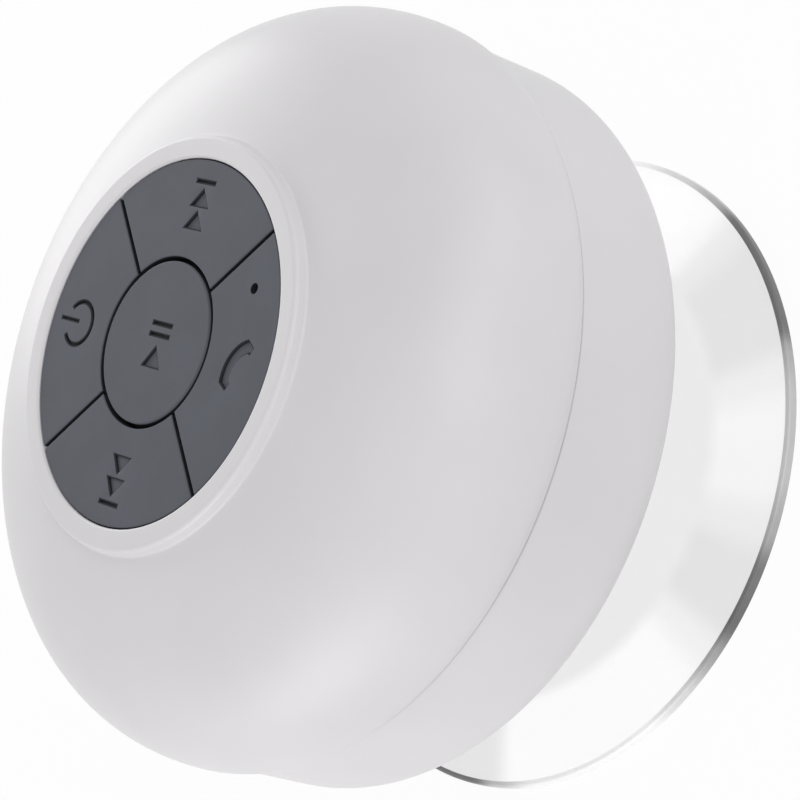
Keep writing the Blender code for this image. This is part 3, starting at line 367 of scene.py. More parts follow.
def woven_cloth():
    """Make black cloth from two crossed rows of threads."""
    material, tree, shader = new_finish("speaker_cloth")
    set_inputs(shader, {"Roughness": CLOTH_ROUGHNESS, "Sheen Weight": CLOTH_SHEEN})
    place = object_place(tree)
    over = tree.nodes.new("ShaderNodeMath")
    over.operation = "MAXIMUM"
    for i, direction in enumerate(("X", "Y")):
        row = tree.nodes.new("ShaderNodeTexWave")
        row.bands_direction = direction
        set_inputs(row, {"Scale": THREADS})
        link(place, row.inputs["Vector"])
        link(row.outputs["Fac"], over.inputs[i])
    shade = tree.nodes.new("ShaderNodeValToRGB")
    for stop, colour in zip(shade.color_ramp.elements, THREAD_TONES):
        stop.color = tone(*colour)
    bump = tree.nodes.new("ShaderNodeBump")
    set_inputs(bump, {"Distance": THREAD_HEIGHT})
    link(over.outputs[0], shade.inputs["Fac"])
    link(shade.outputs["Color"], shader.inputs["Base Color"])
    link(over.outputs[0], bump.inputs["Height"])
    link(bump.outputs["Normal"], shader.inputs["Normal"])
    return material


SPEAKER_CLOTH = woven_cloth()
print("cloth woven")

# %% [markdown]
# ## Clear rubber
#
# The cup is clear soft rubber. It takes the white of the ground, with pale grey sectors where its
# flange bends the light, and a rim that turns dark in some sectors and white in others. A plain
# glass shader would vanish against the white. So those sectors are painted reflections: the tint of
# the rubber follows the angle round the cup's axis, in a colour ramp that lists the sectors, and the
# hub keeps one even tint. The rim's dark and light sectors are painted reflections too. Lamps shine
# through it, by a Transparent shader for shadow rays, as through the real cup.

# %% Mix the clear rubber and its rim
CLEAR_ROUGHNESS = 0.16
CLEAR_IOR = 1.30
RIM_ROUGHNESS = 0.30
HUB_TONE = 239
HUB_BLEND = (27.0 * MM, 28.6 * MM)
# Painted reflections: the tint of the flange, by angle round the axis.
CLEAR_REFLECTION_SECTORS = (
    (-180, 231), (-170, 232), (-164, 255), (-121, 255), (-113, 244), (-107, 231), (-97, 231), (-90, 239),
    (-82, 248), (-70, 249), (-62, 242), (-55, 231), (-38, 231), (-30, 239), (-24, 253), (-18, 255),
    (18, 255), (30, 239), (38, 231), (55, 231), (70, 249), (90, 239), (102, 231), (121, 255), (164, 255),
    (180, 231),
)
# Painted reflections: the dark and light sectors of the rim.
RIM_REFLECTION_SECTORS = (
    (-180, 106), (-174, 110), (-168, 200), (-158, 250), (-132, 253), (-122, 220), (-113, 165), (-107, 106),
    (-97, 118), (-90, 175), (-80, 200), (-66, 200), (-59, 180), (-54, 110), (-30, 106), (-23, 180),
    (-12, 222), (0, 252), (20, 228), (30, 110), (54, 106), (66, 200), (90, 180), (100, 108), (112, 165),
    (130, 252), (160, 250), (174, 110), (180, 106),
)


def painted_reflection_ramp(tree, sectors):
    """Give a colour node of painted reflections that follows the angle round the upright axis, from
    (degrees, level) stops.
    """
    around = tree.nodes.new("ShaderNodeTexGradient")
    around.gradient_type = "RADIAL"
    link(object_place(tree), around.inputs["Vector"])
    ramp = tree.nodes.new("ShaderNodeValToRGB")
    ramp.color_ramp.interpolation = "EASE"
    stops = ramp.color_ramp.elements
    for i, (angle, level) in enumerate(sectors):
        share = (angle + 180) / 360
        stop = stops[i] if i < len(stops) else stops.new(share)
        stop.position = share
        stop.color = tone(level, level, level)
    link(around.outputs["Fac"], ramp.inputs["Fac"])
    return ramp


def clear_rubber():
    """Make the see-through rubber of the cup, with painted reflections in sectors round its axis."""
    material, tree, shader = new_finish("clear_rubber")
    set_inputs(shader, {"Transmission Weight": 1.0, "Roughness": CLEAR_ROUGHNESS, "IOR": CLEAR_IOR})
    flat = tree.nodes.new("ShaderNodeVectorMath")
    flat.operation = "MULTIPLY"
    flat.inputs[1].default_value = (1.0, 1.0, 0.0)
    reach = tree.nodes.new("ShaderNodeVectorMath")
    reach.operation = "LENGTH"
    blend = tree.nodes.new("ShaderNodeMapRange")
    blend.interpolation_type = "SMOOTHSTEP"
    set_inputs(blend, {"From Min": HUB_BLEND[0], "From Max": HUB_BLEND[1]})
    tint = tree.nodes.new("ShaderNodeMix")
    tint.data_type = "RGBA"
    tint.inputs["A"].default_value = tone(HUB_TONE, HUB_TONE, HUB_TONE)
    link(object_place(tree), flat.inputs[0])
    link(flat.outputs["Vector"], reach.inputs[0])
    link(reach.outputs["Value"], blend.inputs["Value"])
    link(blend.outputs["Result"], tint.inputs["Factor"])
    link(painted_reflection_ramp(tree, CLEAR_REFLECTION_SECTORS).outputs["Color"], tint.inputs["B"])
    link(tint.outputs["Result"], shader.inputs["Base Color"])
    path = tree.nodes.new("ShaderNodeLightPath")
    opening = tree.nodes.new("ShaderNodeBsdfTransparent")
    mix_shaders(tree, path.outputs["Is Shadow Ray"], shader, opening, "Material Output")
    return material


def paint_rim_reflections():
    """Make the edge of the rim, with painted reflections, dark and light by the angle round the axis."""
    material, tree, shader = new_finish("rim_painted_reflection")
    set_inputs(shader, {"Roughness": RIM_ROUGHNESS})
    link(painted_reflection_ramp(tree, RIM_REFLECTION_SECTORS).outputs["Color"], shader.inputs["Base Color"])
    return material


FINISHES["clear_rubber"] = clear_rubber()
FINISHES["rim_painted_reflection"] = paint_rim_reflections()
print("clear rubber with", len(CLEAR_REFLECTION_SECTORS), "sector stops, rim with", len(RIM_REFLECTION_SECTORS))

# %% [markdown]
# ## Finishes for the pieces that stay as they are
#
# The pieces inside the housing hardly show, and their solids already have the right shape. They
# stay, and only take a finish, by the material slot that the record gives to each node.

# %% Paint the solids
for part in frame["record"]["subparts"]:
    node = frame["nodes"][part["node"]]
    node.data.materials.clear()
    node.data.materials.append(FINISHES[part["material_slot"]])
frame["nodes"]["grille_cloth"].data.materials[0] = SPEAKER_CLOTH

# %% [markdown]
# ## Turning and rounding
#
# Most of the speaker is turned: a section spun about the upright axis. A Screw modifier could do
# it, but the spin operator leaves a mesh whose rings can be picked by radius and height and
# beveled at once, each with its own width. The helper that adds a finished mesh to the scene also
# seats it on its body and hides the solids it stands for.

# %% Helpers for turned pieces
TURN_STEPS = 192
NEAR = 0.02 * MM
MERGE = 0.002 * MM
SHARP = math.radians(38.0)
RING_SEGMENTS = 4
ORIGIN = (0.0, 0.0, 0.0)
UPRIGHT = (0.0, 0.0, 1.0)
ON_AXIS = (0.0, 0.0)


def polar(radius, heading):
    """Give the x and y of a point at a radius and a heading."""
    return (radius * math.cos(heading), radius * math.sin(heading))


def arc(centre, radius, start, end, count):
    """Give points along an arc, with its angles in degrees."""
    points = []
    for i in range(count + 1):
        x, y = polar(radius, math.radians(start + (end - start) * i / count))
        points.append((centre[0] + x, centre[1] + y))
    return points


def close_up(shape):
    """Merge doubles and turn all faces outwards."""
    bmesh.ops.remove_doubles(shape, verts=shape.verts[:], dist=MERGE)
    bmesh.ops.recalc_face_normals(shape, faces=shape.faces[:])


def whole(shape):
    """Give all that a shape is made of, as an operator takes it."""
    return shape.verts[:] + shape.edges[:] + shape.faces[:]


def verts_of(items):
    """Pick the vertices from what an operator made."""
    return [item for item in items if isinstance(item, bmesh.types.BMVert)]


def fill_ends(shape):
    """Close the open ends of a shape."""
    bmesh.ops.holes_fill(shape, edges=[edge for edge in shape.edges if edge.is_boundary])


def turned(profile, closed=True, steps=TURN_STEPS, spot=ON_AXIS):
    """Spin a section of (radius, height) points about an upright axis."""
    shape = bmesh.new()
    points = [shape.verts.new((spot[0] + radius, spot[1], height)) for radius, height in profile]
    links = [shape.edges.new(pair) for pair in zip(points, points[1:])]
    if closed:
        links.append(shape.edges.new((points[-1], points[0])))
    bmesh.ops.spin(
        shape,
        geom=points + links,
        cent=(*spot, 0.0),
        axis=UPRIGHT,
        angle=math.tau,
        steps=steps,
        use_merge=True,
    )
    close_up(shape)
    return shape


def bevel_edges(shape, edges, width, segments):
    """Round a set of edges."""
    bmesh.ops.bevel(
        shape,
        geom=edges,
        offset=width,
        offset_type="OFFSET",
        segments=segments,
        profile=0.5,
        affect="EDGES",
        clamp_overlap=True,
        material=-1,
    )


def round_ring(shape, radius, height, width, segments=RING_SEGMENTS, spot=ON_AXIS):
    """Round the ring of edges at a radius and a height."""
    def on_ring(vert):
        return abs((vert.co.xy - Vector(spot)).length - radius) < NEAR and abs(vert.co.z - height) < NEAR

    ring = [edge for edge in shape.edges if all(on_ring(vert) for vert in edge.verts)]
    bevel_edges(shape, ring, width, segments)


def add_piece(name, shape, body, slot, *nodes, second=None):
    """Add a finished mesh to the scene, on its body, with its finishes, and hide the solids it stands for.
    """
    mesh = bpy.data.meshes.new(name)
    shape.to_mesh(mesh)
    shape.free()
    mesh.materials.append(FINISHES[slot])
    if second:
        mesh.materials.append(FINISHES[second])
    mesh.shade_smooth()
    mesh.set_sharp_from_angle(angle=SHARP)
    piece = add_object(name, mesh)
    even = piece.modifiers.new("even_flats", "WEIGHTED_NORMAL")
    even.keep_sharp = True
    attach(piece, body)
    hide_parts(*nodes)
    print(name, "has", len(mesh.polygons), "faces")


print("turned in", TURN_STEPS, "steps")

# %% [markdown]
# ## Joining and cutting
#
# Screw bosses, slots and engraved signs break the turned shape, and no single operator makes such
# a cut. A Boolean modifier does. It is evaluated at once and its result read back, so the finished
# piece carries a plain mesh. Cutters are drawn flat, then inset and extruded, so that a slot or a
# sign gets a sloping edge that catches light, as a moulded one does.

# %% Helpers for joining and cutting
LIFT = 0.02 * MM
CORNER_SEGMENTS = 5
FINISH_COUNT = 2
SECOND_FINISH = 1
ALONG_Y = 1
ALONG_Z = 2


def combined(shape, other, operation):
    """Join another closed shape to this one, or cut it out, and keep the marks of a second finish."""
    items = []
    for half in (shape, other):
        mesh = bpy.data.meshes.new("combining")
        half.to_mesh(mesh)
        half.free()
        for _ in range(FINISH_COUNT):
            mesh.materials.append(None)
        items.append(add_object("combining", mesh))
    step = items[0].modifiers.new("combining", "BOOLEAN")
    step.operation = operation
    step.solver = "EXACT"
    step.object = items[1]
    result = bmesh.new()
    result.from_object(items[0], bpy.context.evaluated_depsgraph_get())
    for item in items:
        bpy.data.meshes.remove(item.data)
    return result


def gather(shapes):
    """Put several shapes into one."""
    together = bmesh.new()
    for shape in shapes:
        mesh = bpy.data.meshes.new("gathering")
        shape.to_mesh(mesh)
        shape.free()
        together.from_mesh(mesh)
        bpy.data.meshes.remove(mesh)
    return together


def drawn_out(shape, faces, height):
    """Extrude faces up or down, and leave no face behind where they were."""
    moved = bmesh.ops.extrude_face_region(shape, geom=faces)["geom"]
    bmesh.ops.translate(shape, verts=verts_of(moved), vec=(0.0, 0.0, height))
    bmesh.ops.delete(shape, geom=[face for face in faces if face.is_valid], context="FACES_ONLY")


def sunk(drawing, slope, fall, reach, into):
    """Make a closed cutter of flat faces: sides that slope in and fall, then straight ones."""
    bmesh.ops.recalc_face_normals(drawing, faces=drawing.faces[:])
    wrong = [face for face in drawing.faces if face.normal.z * into > 0]
    bmesh.ops.reverse_faces(drawing, faces=wrong)
    drawing.normal_update()
    faces = drawing.faces[:]
    bmesh.ops.inset_region(
        drawing, faces=faces, thickness=slope, depth=-fall, use_even_offset=True, use_boundary=True
    )
    drawn_out(drawing, faces, into * reach)
    fill_ends(drawing)
    close_up(drawing)
    return drawing


def rounded_block(low, high, axis, corner):
    """Make a block between two corners, with the edges along one axis rounded."""
    shape = bmesh.new()
    middle = (Vector(low) + Vector(high)) / 2
    size = Vector(high) - Vector(low)
    place = Matrix.Translation(middle) @ Matrix.Diagonal((*size, 1.0))
    bmesh.ops.create_cube(shape, size=1.0, matrix=place)
    along = [edge for edge in shape.edges if abs((edge.verts[0].co - edge.verts[1].co)[axis]) > NEAR]
    bevel_edges(shape, along, corner, CORNER_SEGMENTS)
    return shape


print("cutters start above the surface by, in mm", in_mm(LIFT))

# %% [markdown]
# ## The dome
#
# The front shell is one moulding: a dome, open in the middle, with a raised collar round the key
# panel. A sphere scaled to fit would miss its fuller shoulder. Its outside is a single cubic curve
# from the foot of the collar to the widest ring, where it runs into a small rounded edge at the
# seam. The corners of the collar are rounded after the spin, because light on those edges is
# what shows the collar at all. Posts for the board and bosses for the long screws stand inside.

# %% Draw the section of the dome
WALL = 2.2 * MM
PANEL_RADIUS = 20.4 * MM
COLLAR_WIDTH = 2.5 * MM
COLLAR_HEIGHT = 1.4 * MM
COLLAR_FLARE = 0.25 * MM
COLLAR_ROUND = 0.50 * MM
COLLAR_SEGMENTS = 6
PANEL_EDGE_ROUND = 0.30 * MM
FOOT_ROUND = 0.22 * MM
CROWN_RUN = 9.6 * MM
CROWN_DROP = 2.2 * MM
DOME_SIDE = 11.6 * MM
SEAM = 38.2 * MM
SEAM_GAP = 0.4 * MM
SEAM_LINE = 0.28 * MM
EDGE_DROP = 1.6 * MM
EDGE_IN = 0.46 * MM
EDGE_POINTS = 6
SHELF_HEIGHT = 2.3 * MM
SKIRT_RADIUS = 22.2 * MM
DOME_POINTS = 44

equator = SEAM + SEAM_GAP + EDGE_DROP
edge_radius = (EDGE_DROP**2 + EDGE_IN**2) / (2 * EDGE_IN)
edge_turn = math.degrees(math.asin(EDGE_DROP / edge_radius))
collar_radius = PANEL_RADIUS + COLLAR_WIDTH
foot = Vector((collar_radius + COLLAR_FLARE, TOP - COLLAR_HEIGHT))
widest = Vector((BODY_RADIUS, equator))
crown = Vector((CROWN_RUN, -CROWN_DROP))
side = Vector((0.0, DOME_SIDE))
inward = Vector((-WALL, 0.0))
downward = Vector((0.0, -WALL))
outside = interpolate_bezier(foot, foot + crown, widest + side, widest, DOME_POINTS)
inside = interpolate_bezier(
    widest + inward,
    widest + inward + side + downward,
    foot + crown + inward + downward,
    foot + downward,
    DOME_POINTS // 2,
)
shelf = TOP - SHELF_HEIGHT
print("dome section from and to, in mm", in_mm(foot.x, widest.x))

# %% Turn the dome and round its collar
profile = [(PANEL_RADIUS, shelf), (PANEL_RADIUS, TOP), (collar_radius, TOP)]
profile += [tuple(point) for point in outside[:-1]]
profile += arc((BODY_RADIUS - edge_radius, equator), edge_radius, 0.0, -edge_turn, EDGE_POINTS)
profile += [(BODY_RADIUS - EDGE_IN, SEAM + SEAM_LINE), (BODY_RADIUS - WALL, SEAM + SEAM_LINE)]
profile += [tuple(point) for point in inside]
profile += [(SKIRT_RADIUS, foot.y - WALL), (SKIRT_RADIUS, shelf)]
shape = turned(profile)
round_ring(shape, PANEL_RADIUS, TOP, PANEL_EDGE_ROUND)
round_ring(shape, collar_radius, TOP, COLLAR_ROUND, COLLAR_SEGMENTS)
round_ring(shape, foot.x, foot.y, FOOT_ROUND)
print("dome section with", len(profile), "points")

# %% Stand the posts and bosses inside and drill them
DIAGONALS = [math.radians(45.0 + 90.0 * turn) for turn in range(4)]
FIT = 0.3 * MM
POST_RADIUS = 2.4 * MM
POST_OFFSET = 24.6 * MM
POST_HOLE = 1.2 * MM
POST_DEPTH = 2.7 * MM
BOSS_RADIUS = 2.6 * MM
BOSS_OFFSET = 35.4 * MM
BOSS_HOLE = 1.5 * MM
BOSS_DEPTH = 5.8 * MM
ROD_STEPS = 32


def rod(radius, low, high, spot):
    """Make an upright rod."""
    return turned([(0.0, low), (radius, low), (radius, high), (0.0, high)], False, ROD_STEPS, spot)


def dome_height(radius):
    """Give the height of the dome's outside at a radius."""
    return min(outside, key=lambda point: abs(point.x - radius)).y


board_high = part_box("main_board")[1]
post_low = board_high.z + FIT
boss_low = front_low.z
post_high = dome_height(POST_OFFSET + POST_RADIUS) - WALL / 2
boss_high = dome_height(BOSS_OFFSET + BOSS_RADIUS) - WALL / 2
rods = []
holes = []
for heading in DIAGONALS:
    post_spot = polar(POST_OFFSET, heading)
    boss_spot = polar(BOSS_OFFSET, heading)
    rods.append(rod(POST_RADIUS, post_low, post_high, post_spot))
    rods.append(rod(BOSS_RADIUS, boss_low, boss_high, boss_spot))
    holes.append(rod(POST_HOLE, post_low - WALL, post_low + POST_DEPTH, post_spot))
    holes.append(rod(BOSS_HOLE, boss_low - WALL, boss_low + BOSS_DEPTH, boss_spot))
shape = combined(shape, gather(rods), "UNION")
shape = combined(shape, gather(holes), "DIFFERENCE")
add_piece("dome_shell", shape, "housing", "white_plastic", "front_shell")

# %% [markdown]
# ## The rear shell
#
# The rear shell is the plain band behind the seam and the back that faces the wall. In the middle
# of the back a socket holds the head of the cup, and round it are the slots that let the sound
# out. It is turned in one section, with a tongue that centres the dome, and then cut. The small
# rounding at the seam gets painted shade, a second, greyer finish, so that the seam reads as a line.

# %% Turn the band, the back and the socket
SOCKET_DROP = 4.3 * MM
SOCKET_LIP = 2.4 * MM
SOCKET_RADIUS = 11.4 * MM
SOCKET_EDGE = 0.6 * MM
NECK_HOLE = 6.8 * MM
POCKET_RADIUS = 8.8 * MM
REAR_ROUND = 5.2 * MM
TONGUE_OUTSIDE = 40.5 * MM
TONGUE_INSIDE = 38.5 * MM
TONGUE_RISE = 2.8 * MM
TONGUE_ROOT = 2.0 * MM
SEAL_GROOVE = 1.0 * MM
SEAL_HALF = 0.55 * MM
SEAT_INSIDE = 22.4 * MM
SEAT_OUTSIDE = 26.0 * MM
SEAT_RISE = 1.0 * MM
BAND_EDGE = 0.25 * MM
BACK_POINTS = 14

back = SOCKET_FACE + SOCKET_DROP
back_floor = back + WALL
band_inside = BAND_RADIUS - WALL
seal_level = SEAM + TONGUE_RISE / 2
seat_top = back_floor + SEAT_RISE
inner_round = REAR_ROUND - WALL
profile = [
    (TONGUE_OUTSIDE, SEAM + TONGUE_RISE),
    (TONGUE_OUTSIDE, seal_level + SEAL_HALF),
    (TONGUE_OUTSIDE - SEAL_GROOVE, seal_level + SEAL_HALF),
    (TONGUE_OUTSIDE - SEAL_GROOVE, seal_level - SEAL_HALF),
    (TONGUE_OUTSIDE, seal_level - SEAL_HALF),
    (TONGUE_OUTSIDE, SEAM),
    (BAND_RADIUS, SEAM),
]
profile += arc((BAND_RADIUS - REAR_ROUND, back + REAR_ROUND), REAR_ROUND, 0.0, -90.0, BACK_POINTS)
profile += [
    (SOCKET_RADIUS, back),
    (SOCKET_RADIUS, SOCKET_FACE),
    (NECK_HOLE, SOCKET_FACE),
    (NECK_HOLE, SOCKET_FACE + SOCKET_LIP),
    (POCKET_RADIUS, SOCKET_FACE + SOCKET_LIP),
    (POCKET_RADIUS, back_floor),
    (SEAT_INSIDE, back_floor),
    (SEAT_INSIDE, seat_top),
    (SEAT_OUTSIDE, seat_top),
    (SEAT_OUTSIDE, back_floor),
]
profile += arc((band_inside - inner_round, back_floor + inner_round), inner_round, -90.0, 0.0, EDGE_POINTS)
profile += [
    (band_inside, SEAM - TONGUE_ROOT),
    (TONGUE_INSIDE, SEAM),
    (TONGUE_INSIDE, SEAM + TONGUE_RISE),
]
shape = turned(profile)
round_ring(shape, BAND_RADIUS, SEAM, BAND_EDGE)
round_ring(shape, SOCKET_RADIUS, SOCKET_FACE, SOCKET_EDGE)
round_ring(shape, SOCKET_RADIUS, back, SOCKET_EDGE)
# Paint shade on the rounded top edge of the band, at the seam.
for face in shape.faces:
    middle = face.calc_center_median()
    if middle.xy.length > BAND_RADIUS - BAND_EDGE and middle.z > SEAM - BAND_EDGE:
        face.material_index = SECOND_FINISH
print("rear section with", len(profile), "points")

# %% Add the screw pads and the ribs under the charge board
PAD_RADIUS = 3.0 * MM
PAD_RISE = 1.6 * MM
RIB_SPACING = 10.0 * MM
RIB_WIDTH = 1.4 * MM
RIB_CORNER = 0.2 * MM

charge_low, charge_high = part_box("charge_board")
added = []
for turn in DIAGONALS:
    added.append(rod(PAD_RADIUS, back_floor - WALL / 2, back_floor + PAD_RISE, polar(BOSS_OFFSET, turn)))
for sign in (-1, 1):
    rib_low = (sign * RIB_SPACING / 2 - RIB_WIDTH / 2, charge_low.y, back_floor - WALL / 2)
    rib_high = (sign * RIB_SPACING / 2 + RIB_WIDTH / 2, charge_high.y, charge_low.z - FIT)
    added.append(rounded_block(rib_low, rib_high, ALONG_Z, RIB_CORNER))
shape = combined(shape, gather(added), "UNION")
print("pads and ribs:", len(added))

# %% Cut the sound slots, the counterbores and the holes of the loudspeaker's screws
SLOT_COUNT = 20
SLOT_WIDTH = 1.5 * MM
SLOT_INSIDE = 13.0 * MM
SLOT_OUTSIDE = 20.8 * MM
SLOT_FLARE = 0.25 * MM
SLOT_SIDES = 24
COUNTERBORE = 2.3 * MM
SCREW_SINK = 1.9 * MM
SEAT_SCREW_OFFSET = 24.2 * MM
SEAT_SCREW_HOLE = 1.1 * MM
SEAT_SCREW_DEPTH = 2.2 * MM
QUARTERS = [math.radians(90.0 * turn) for turn in range(4)]

slope = SLOT_FLARE + LIFT
half_side = Matrix.Rotation(math.pi / SLOT_SIDES, 4, "Z")
start = Matrix.Translation((SLOT_INSIDE + SLOT_WIDTH / 2, 0.0, back - LIFT))
slots = bmesh.new()
bmesh.ops.create_circle(
    slots, cap_ends=True, segments=SLOT_SIDES, radius=SLOT_WIDTH / 2 + slope, matrix=start @ half_side
)
outer_end = [vert for vert in slots.verts if vert.co.x > SLOT_INSIDE + SLOT_WIDTH / 2]
bmesh.ops.translate(slots, verts=outer_end, vec=(SLOT_OUTSIDE - SLOT_INSIDE - SLOT_WIDTH, 0.0, 0.0))
sunk(slots, slope, slope, WALL, 1)
pitch = math.tau / SLOT_COUNT
half_pitch = Matrix.Rotation(pitch / 2, 3, "Z")
bmesh.ops.rotate(slots, verts=slots.verts[:], cent=ORIGIN, matrix=half_pitch)
bmesh.ops.spin(
    slots,
    geom=whole(slots),
    cent=ORIGIN,
    axis=UPRIGHT,
    angle=math.tau - pitch,
    steps=SLOT_COUNT - 1,
    use_duplicate=True,
)
cutters = [slots]
sink = back + SCREW_SINK
for turn in DIAGONALS:
    section = [
        (0.0, back - LIFT),
        (COUNTERBORE + slope, back - LIFT),
        (COUNTERBORE, back + SLOT_FLARE),
        (COUNTERBORE, sink),
        (BOSS_HOLE, sink),
        (BOSS_HOLE, back_floor + PAD_RISE + WALL),
        (0.0, back_floor + PAD_RISE + WALL),
    ]
    cutters.append(turned(section, False, ROD_STEPS, polar(BOSS_OFFSET, turn)))
for turn in QUARTERS:
    spot = polar(SEAT_SCREW_OFFSET, turn)
    cutters.append(rod(SEAT_SCREW_HOLE, seat_top - SEAT_SCREW_DEPTH, seat_top + WALL, spot))
shape = combined(shape, gather(cutters), "DIFFERENCE")
print("slots cut:", SLOT_COUNT)

# %% Cut the recess of the port flap and the port
RECESS_FLOOR = 40.9 * MM
RECESS_CORNER = 1.3 * MM
PORT_WIDTH = 7.6 * MM
PORT_HEIGHT = 3.1 * MM
PORT_CORNER = 0.8 * MM

flap_low, flap_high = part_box("port_flap")
port_level = (flap_low.z + flap_high.z) / 2
beyond = BODY_RADIUS + WALL
recess = rounded_block(
    (flap_low.x - FIT, RECESS_FLOOR, flap_low.z - FIT),
    (flap_high.x + FIT, beyond, flap_high.z + FIT),
    ALONG_Y,
    RECESS_CORNER,
)
port = rounded_block(
    (-PORT_WIDTH / 2, band_inside - WALL, port_level - PORT_HEIGHT / 2),
    (PORT_WIDTH / 2, beyond, port_level + PORT_HEIGHT / 2),
    ALONG_Y,
    PORT_CORNER,
)
shape = combined(shape, recess, "DIFFERENCE")
shape = combined(shape, port, "DIFFERENCE")
add_piece("back_shell", shape, "housing", "white_plastic", "rear_shell", second="seam_painted_shade")

# %% [markdown]
# ## The clear suction cup
#
# The cup is one clear moulding: a thin flange, a bell-shaped hub, a neck and a head that snaps
# into the housing. Only its section has shape, so it is turned like the dome. The faces of the
# outer rim get the second finish, the edge with painted reflections in dark and light sectors.

# %% Turn the cup
LIP = 1.0 * MM
LIP_WIDTH = 3.0 * MM
LIP_ROUND = 0.3 * MM
RIM_WIDTH = 0.65 * MM
STEEP = 0.5
HUB_RADIUS = 27.0 * MM
HUB_FOOT = 2.8 * MM
CUP_SKIN = 1.5 * MM
CHAMBER = 5.6 * MM
ROOF_FOOT_RUN = 6.8 * MM
ROOF_CROWN_RUN = 12.2 * MM
SHOULDER_RADIUS = 9.5 * MM
SHOULDER_EDGE = 0.8 * MM
NECK_RADIUS = 6.5 * MM
HEAD_RADIUS = 8.5 * MM
HEAD_HEIGHT = 2.8 * MM
HEAD_CHAMFER = 1.4 * MM
BELL_POINTS = 28

head_top = cup_high.z
head_low = head_top - HEAD_HEIGHT
shoulder = SOCKET_FACE - FIT
bell = interpolate_bezier(
    Vector((SHOULDER_RADIUS, shoulder - SHOULDER_EDGE)),
    Vector((SHOULDER_RADIUS, (shoulder + HUB_FOOT) / 2)),
    Vector(((SHOULDER_RADIUS + HUB_RADIUS) / 2, HUB_FOOT)),
    Vector((HUB_RADIUS, HUB_FOOT)),
    BELL_POINTS,
)
roof = interpolate_bezier(
    Vector((HUB_RADIUS, HUB_FOOT - CUP_SKIN)),
    Vector((HUB_RADIUS - ROOF_FOOT_RUN, HUB_FOOT - CUP_SKIN)),
    Vector((ROOF_CROWN_RUN, CHAMBER)),
    Vector((0.0, CHAMBER)),
    BELL_POINTS,
)
profile = [
    (0.0, head_top),
    (HEAD_RADIUS - HEAD_CHAMFER, head_top),
    (HEAD_RADIUS, head_top - HEAD_CHAMFER),
    (HEAD_RADIUS, head_low),
    (NECK_RADIUS, head_low),
    (NECK_RADIUS, shoulder),
    (SHOULDER_RADIUS, shoulder),
]
profile += [tuple(point) for point in bell]
rim_share = (CUP_RADIUS - RIM_WIDTH - HUB_RADIUS) / (CUP_RADIUS - HUB_RADIUS)
profile += [(CUP_RADIUS - RIM_WIDTH, HUB_FOOT + (LIP - HUB_FOOT) * rim_share)]
profile += [(CUP_RADIUS, LIP), (CUP_RADIUS, 0.0), (CUP_RADIUS - LIP_WIDTH, 0.0)]
profile += [tuple(point) for point in roof]
shape = turned(profile, closed=False)
round_ring(shape, CUP_RADIUS, LIP, LIP_ROUND)
round_ring(shape, SHOULDER_RADIUS, shoulder, LIP_ROUND)
# The faces of the outer rim take the painted reflections.
for face in shape.faces:
    if face.calc_center_median().xy.length > CUP_RADIUS - RIM_WIDTH and face.normal.z > -STEEP:
        face.material_index = SECOND_FINISH
add_piece("clear_cup", shape, "cup", "clear_rubber", "suction_cup", second="rim_painted_reflection")

# %% [markdown]
# ## The signs on the keys
#
# Each key has a sign pressed into it: next, previous, play and pause, power, and a telephone
# handset. They could be painted, but on the real keys they are sunk, with one dark and one light
# edge. So each sign is drawn as flat faces on the key's top and sunk by the cutter above. The
# triangles and bars are a few corners each. The open ring and the handset are an edge spun about
# a centre, and the handset's slanted tips are its two end edges, extruded once more. The walls of
# a sign and its narrow strokes stay in shade, so that shade is painted on them as a darker finish,
# and the sides of the keys and the microphone hole get the same painted shade.

# %% Helpers that draw signs
SIGN_DEPTH = 0.34 * MM
SIGN_SLOPE = 0.20 * MM
SIGN_FALL = 0.10 * MM
SIGN_SHIFT = -0.35 * MM
SIGN_LEVEL = KEY_TOP + LIFT
TRIANGLE_HALF = 1.85 * MM


def draw_patch(drawing, corners):
    """Draw a flat patch on the key's top from a few corners."""
    return drawing.faces.new([drawing.verts.new((x, y, SIGN_LEVEL)) for x, y in corners])


def draw_triangle(drawing, base, point):
    """Draw a triangle that points along the x axis, from its base to its point."""
    draw_patch(drawing, [(base, -TRIANGLE_HALF), (point, 0.0), (base, TRIANGLE_HALF)])


def draw_bar(drawing, left, right, low, high):
    """Draw a bar along the y axis, between two sides, with painted shade on it."""
    bar = draw_patch(drawing, [(left, low), (right, low), (right, high), (left, high)])
    bar.material_index = SECOND_FINISH


def draw_band(drawing, centre, radius, width, start, turn, steps):
    """Draw a band along an arc, with its angles in degrees, and give its two end edges."""
    ends = []
    for reach in (radius - width / 2, radius + width / 2):
        x, y = polar(reach, math.radians(start))
        ends.append(drawing.verts.new((centre[0] + x, centre[1] + y, SIGN_LEVEL)))
    edge = drawing.edges.new(ends)
    spun = bmesh.ops.spin(
        drawing,
        geom=ends + [edge],
        cent=(*centre, 0.0),
        axis=UPRIGHT,
        angle=math.radians(turn),
        steps=steps,
    )
    last = [item for item in spun["geom_last"] if isinstance(item, bmesh.types.BMEdge)]
    return edge, last[0]


print("depth of the signs in mm", in_mm(SIGN_DEPTH))

